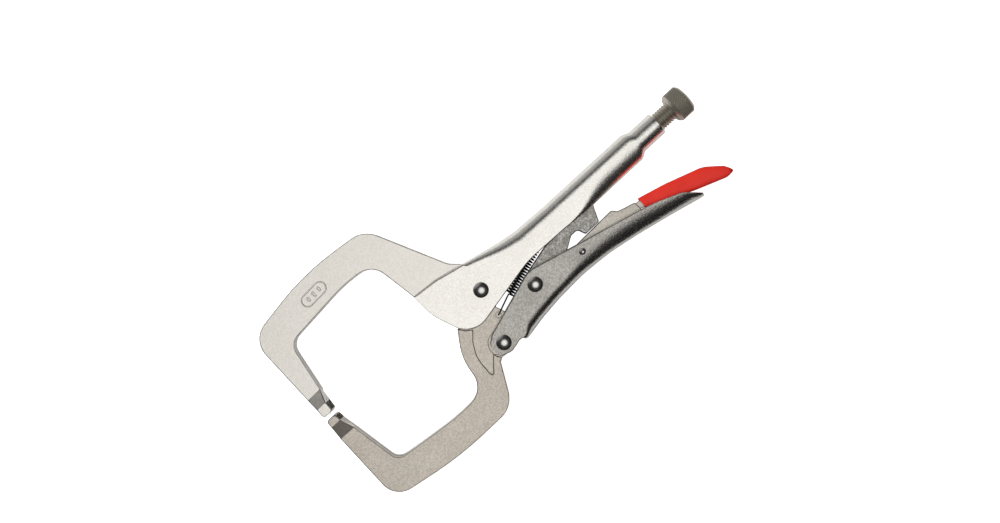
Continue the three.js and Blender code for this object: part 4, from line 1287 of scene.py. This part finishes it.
@dataclass
class Rivet:
    """Rivet with a low dome on each side of the cheeks."""

    name: str
    body: str
    node: str
    centre: Array
    head_radius: float
    top: float
    lip: float = 0.45

    def build(self) -> None:
        """Turns the rivet: a dome that is part of a sphere, a rounded lip, and the same again below."""
        seat = HANDLE_HALF - 0.1
        rise = self.top - HANDLE_HALF - self.lip
        sphere = (self.head_radius**2 + rise**2) / (2 * rise)
        radius = self.head_radius * np.sin(np.linspace(0, np.pi / 2 * 0.93, 18))
        dome = np.stack([self.top - sphere + np.sqrt(sphere**2 - radius**2), radius], -1)
        angle = np.linspace(0, np.pi / 2, 6)[1:]
        edge_z, edge_r = dome[-1]
        lip = np.stack([edge_z - (edge_z - seat) * np.sin(angle) ** 1.5 * 0.5,
                        edge_r + (self.head_radius - edge_r) * np.sin(angle)], -1)
        upper = np.concatenate([dome, lip, [[seat, self.head_radius]], [[seat, self.head_radius * 0.6]]])
        profile = np.concatenate([upper, upper[::-1] * [-1, 1]])
        made = turned(profile, Axis.Z, (*self.centre, 0), 72).store(self.name)
        dress(made, POLISHED_STEEL, self.body, "rivet_steel", self.node)


@dataclass
class ReturnSpring:
    """Extension spring between the moving jaw's eye and the handle's tab."""

    eye: Array = field(default_factory=lambda: np.array([*MovingJaw.eye, 0.0]))
    tab: Array = field(default_factory=lambda: np.array([163.3, -7.7, 0.0]))
    coil_start: Array = field(default_factory=lambda: np.array([125.0, -19.4, 0.0]))
    wire_radius: float = 0.47
    coil_radius: float = 2.7
    pitch: float = 1.7
    turns: int = 19
    steps: int = 28

    def path(self) -> Array:
        """Centre line: a hook through the eye, a leg, the coil as a circle that advances one pitch a turn,
        and a hook through the tab."""
        axis = (self.tab - self.coil_start) / np.linalg.norm(self.tab - self.coil_start)
        across = np.array([-axis[1], axis[0], 0])
        up = np.array([0, 0, 1.0])
        angle = np.linspace(0, 2 * np.pi * self.turns, self.turns * self.steps + 1)[:, None]
        coil = self.coil_start + axis * self.pitch * angle / (2 * np.pi)
        coil = coil + self.coil_radius * (up * np.cos(angle) - across * np.sin(angle))
        over = 5.0
        before = np.array([
            self.eye + [0, 0, over - 4.5],
            self.eye + [0, 0, over - 1.4],
            self.eye + [0.3, 0.2, over - 0.3],
            self.eye + [1.2, 0.5, over],
            self.coil_start + up * self.coil_radius - axis * 0.8,
        ])
        end = coil[-1]
        after = np.array([
            end + axis * 1.2,
            self.tab - axis * 0.9 + up * 1.85,
            self.tab + up * 0.8,
            self.tab - up * 2.6,
        ])
        return np.concatenate([self.eased(before), coil, self.eased(after)])

    @staticmethod
    def eased(points: Array, fine: int = 6) -> Array:
        """Points with the corners between them eased: each stretch is cut finely and averaged with its
        neighbours."""
        place = np.linspace(0, len(points) - 1, (len(points) - 1) * fine + 1)
        line = np.stack([np.interp(place, np.arange(len(points)), points[:, k]) for k in range(3)], -1)
        padded = np.concatenate([line[:1].repeat(3, 0), line, line[-1:].repeat(3, 0)])
        return np.mean([padded[k : k + len(line)] for k in range(7)], 0)

    def build(self) -> None:
        """Makes the spring between the moving jaw's eye and the handle's tab; it is tied to neither body."""
        made = wire(self.path(), self.wire_radius).store("return_spring_wire", 60)
        made.data.materials.append(SPRING_BLACK.material())
        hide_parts("return_spring")
        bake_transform(made)
        logger.info("%s: %d faces, between fixed_frame and moving_jaw", made.name, len(made.data.polygons))


# ---- studio ----


@dataclass
class Studio:
    """Pale floor, soft light from above and the camera looking straight down."""

    centre: tuple[float, float] = (134.0, -2.16)
    distance: float = 750.0
    scale: float = 1.717  # of the picture's 1000 columns to a millimetre at mid thickness
    turn: float = -42.7
    columns: float = 1000.0
    sensor: float = 36.0
    sky_strength: float = 1.14
    patch_lean: float = 6.0  # degrees
    patch_stops: Sequence[tuple[float, float]] = ((0.0, 0.0), (0.865, 0.03), (0.942, 1.0))
    side_stops: Sequence[tuple[float, float]] = ((0.34, 0.012), (0.8, 0.03), (0.92, 0.3), (1.0, 0.38))
    mirrored_glow: float = 0.12

    def camera(self) -> None:
        """Camera above the pliers: its lens is the sensor times the distance times the scale over the
        columns."""
        data = bpy.data.cameras.new("camera")
        data.sensor_width = self.sensor
        data.lens = self.sensor * self.scale * self.distance / self.columns
        made = bpy.data.objects.new("camera", data)
        made.location = (self.centre[0] * MM, self.centre[1] * MM, self.distance * MM)
        made.rotation_euler = (0, 0, np.radians(self.turn))
        bpy.context.scene.collection.objects.link(made)
        bpy.context.scene.camera = made

    def floor(self) -> None:
        """Flat pale floor under the lowest point of the pliers; it glows only where it is seen directly, so
        that the steel mirrors a softer tone."""
        reach = 4000.0
        corner = np.array([[-1, -1, 0], [1, -1, 0], [1, 1, 0], [-1, 1, 0]]) * reach
        made = Shape(corner + [*self.centre, FLOOR_Z], [[0, 1, 2, 3]]).store("studio_floor")
        bench = MaterialBench("pale_floor")
        cloud = bench.effect(Effect.MOTTLE, Scale=6.0, Contrast=1.0)
        bench.feed("Base Color", bench.mix(cloud.outputs["Mask"], (0.93, 0.93, 0.93), (0.95, 0.95, 0.95)))
        bench.feed("Roughness", 0.9)
        seen = bench.tree.nodes.new("ShaderNodeLightPath").outputs["Is Camera Ray"]
        bench.feed("Emission Color", math_node(bench.tree, "MAXIMUM", seen, self.mirrored_glow))
        bench.feed("Emission Strength", 1.0)
        made.data.materials.append(bench.material)

    def light(self, name: str, place: Sequence[float], size: float, power: float) -> None:
        """Round area light that faces the middle of the pliers and isn't mirrored in the steel."""
        data = bpy.data.lights.new(name, "AREA")
        data.shape = "DISK"
        data.size = size * MM
        data.energy = power
        made = bpy.data.objects.new(name, data)
        made.location = np.array(place) * MM
        towards = np.array([*self.centre, 0]) * MM - np.array(made.location)
        made.rotation_euler = aim(towards)
        made.visible_glossy = False
        bpy.context.scene.collection.objects.link(made)

    def sky(self) -> None:
        """Studio surroundings: a bright patch overhead that leans towards -Y, and sides that are grey low
        down towards +Y and near black towards -Y; the brighter of the two is seen."""
        world = bpy.data.worlds.new("studio")
        bpy.context.scene.world = world
        world.use_nodes = True
        tree = world.node_tree
        split = tree.nodes.new("ShaderNodeSeparateXYZ")
        tree.links.new(tree.nodes.new("ShaderNodeTexCoord").outputs["Generated"], split.inputs[0])
        lean = np.radians(self.patch_lean)
        back_part = math_node(tree, "MULTIPLY", split.outputs["Y"], -float(np.sin(lean)))
        towards_patch = math_node(tree, "MULTIPLY_ADD", split.outputs["Z"], float(np.cos(lean)), back_part)
        overhead = self.ramp(tree, towards_patch, self.patch_stops)
        half_y = math_node(tree, "MULTIPLY_ADD", split.outputs["Y"], 0.5, 0.5)
        side = self.ramp(tree, half_y, self.side_stops)
        level = math_node(tree, "MAXIMUM", overhead, side)
        back = tree.nodes["Background"]
        tree.links.new(level, back.inputs["Color"])
        back.inputs["Strength"].default_value = self.sky_strength

    @staticmethod
    def ramp(
        tree: bpy.types.NodeTree, value: bpy.types.NodeSocket, stops: Sequence[tuple[float, float]]
    ) -> bpy.types.NodeSocket:
        """Grey level looked up between stops of place and level."""
        node = tree.nodes.new("ShaderNodeValToRGB")
        tree.links.new(value, node.inputs[0])
        elements = node.color_ramp.elements
        while len(elements) < len(stops):
            elements.new(0.5)
        for element, (place, level) in zip(elements, stops):
            element.position = place
            element.color = (level, level, level, 1)
        return node.outputs[0]

    def build(self) -> None:
        """Sets up the studio."""
        self.camera()
        self.floor()
        self.sky()
        self.light("soft_key", (-750, 950, 950), 900, 24)
        bpy.context.scene.view_settings.view_transform = "Standard"


def aim(direction: Array) -> tuple[float, float, float]:
    """Turn that makes a light's own -Z point along a direction: a tilt about X from straight down towards
    +Y, then a heading about Z."""
    x, y, z = direction
    tilt = float(np.arctan2(np.hypot(x, y), -z))
    return tilt, 0.0, float(np.arctan2(-x, y))


# ---- assembly ----


def main() -> None:
    """Builds the studio and every piece."""
    logging.basicConfig(level=logging.INFO, format="%(message)s")
    Studio().build()
    parts = [
        FixedJaw(),
        MovingJaw(),
        FixedHandle(),
        LowerHandle(),
        Linkage(),
        AdjustingScrew(),
        Rivet("jaw_rivet", "fixed_frame", "jaw_pivot_rivet", JAW_PIVOT, 4.55, RIVET_TOP),
        Rivet("handle_rivet", "lower_handle", "handle_pivot_rivet", HANDLE_PIVOT, 4.55, RIVET_TOP),
        Rivet("link_rivet", "lower_handle", "link_pivot_rivet", LINK_PIVOT, 4.55, RIVET_TOP),
        Rivet("lever_rivet", "lower_handle", "release_lever_rivet", LEVER_PIVOT, 2.15, LEVER_RIVET_TOP, 0.25),
        ReturnSpring(),
    ]
    for part in parts:
        part.build()


if __name__ == "__main__":
    main()
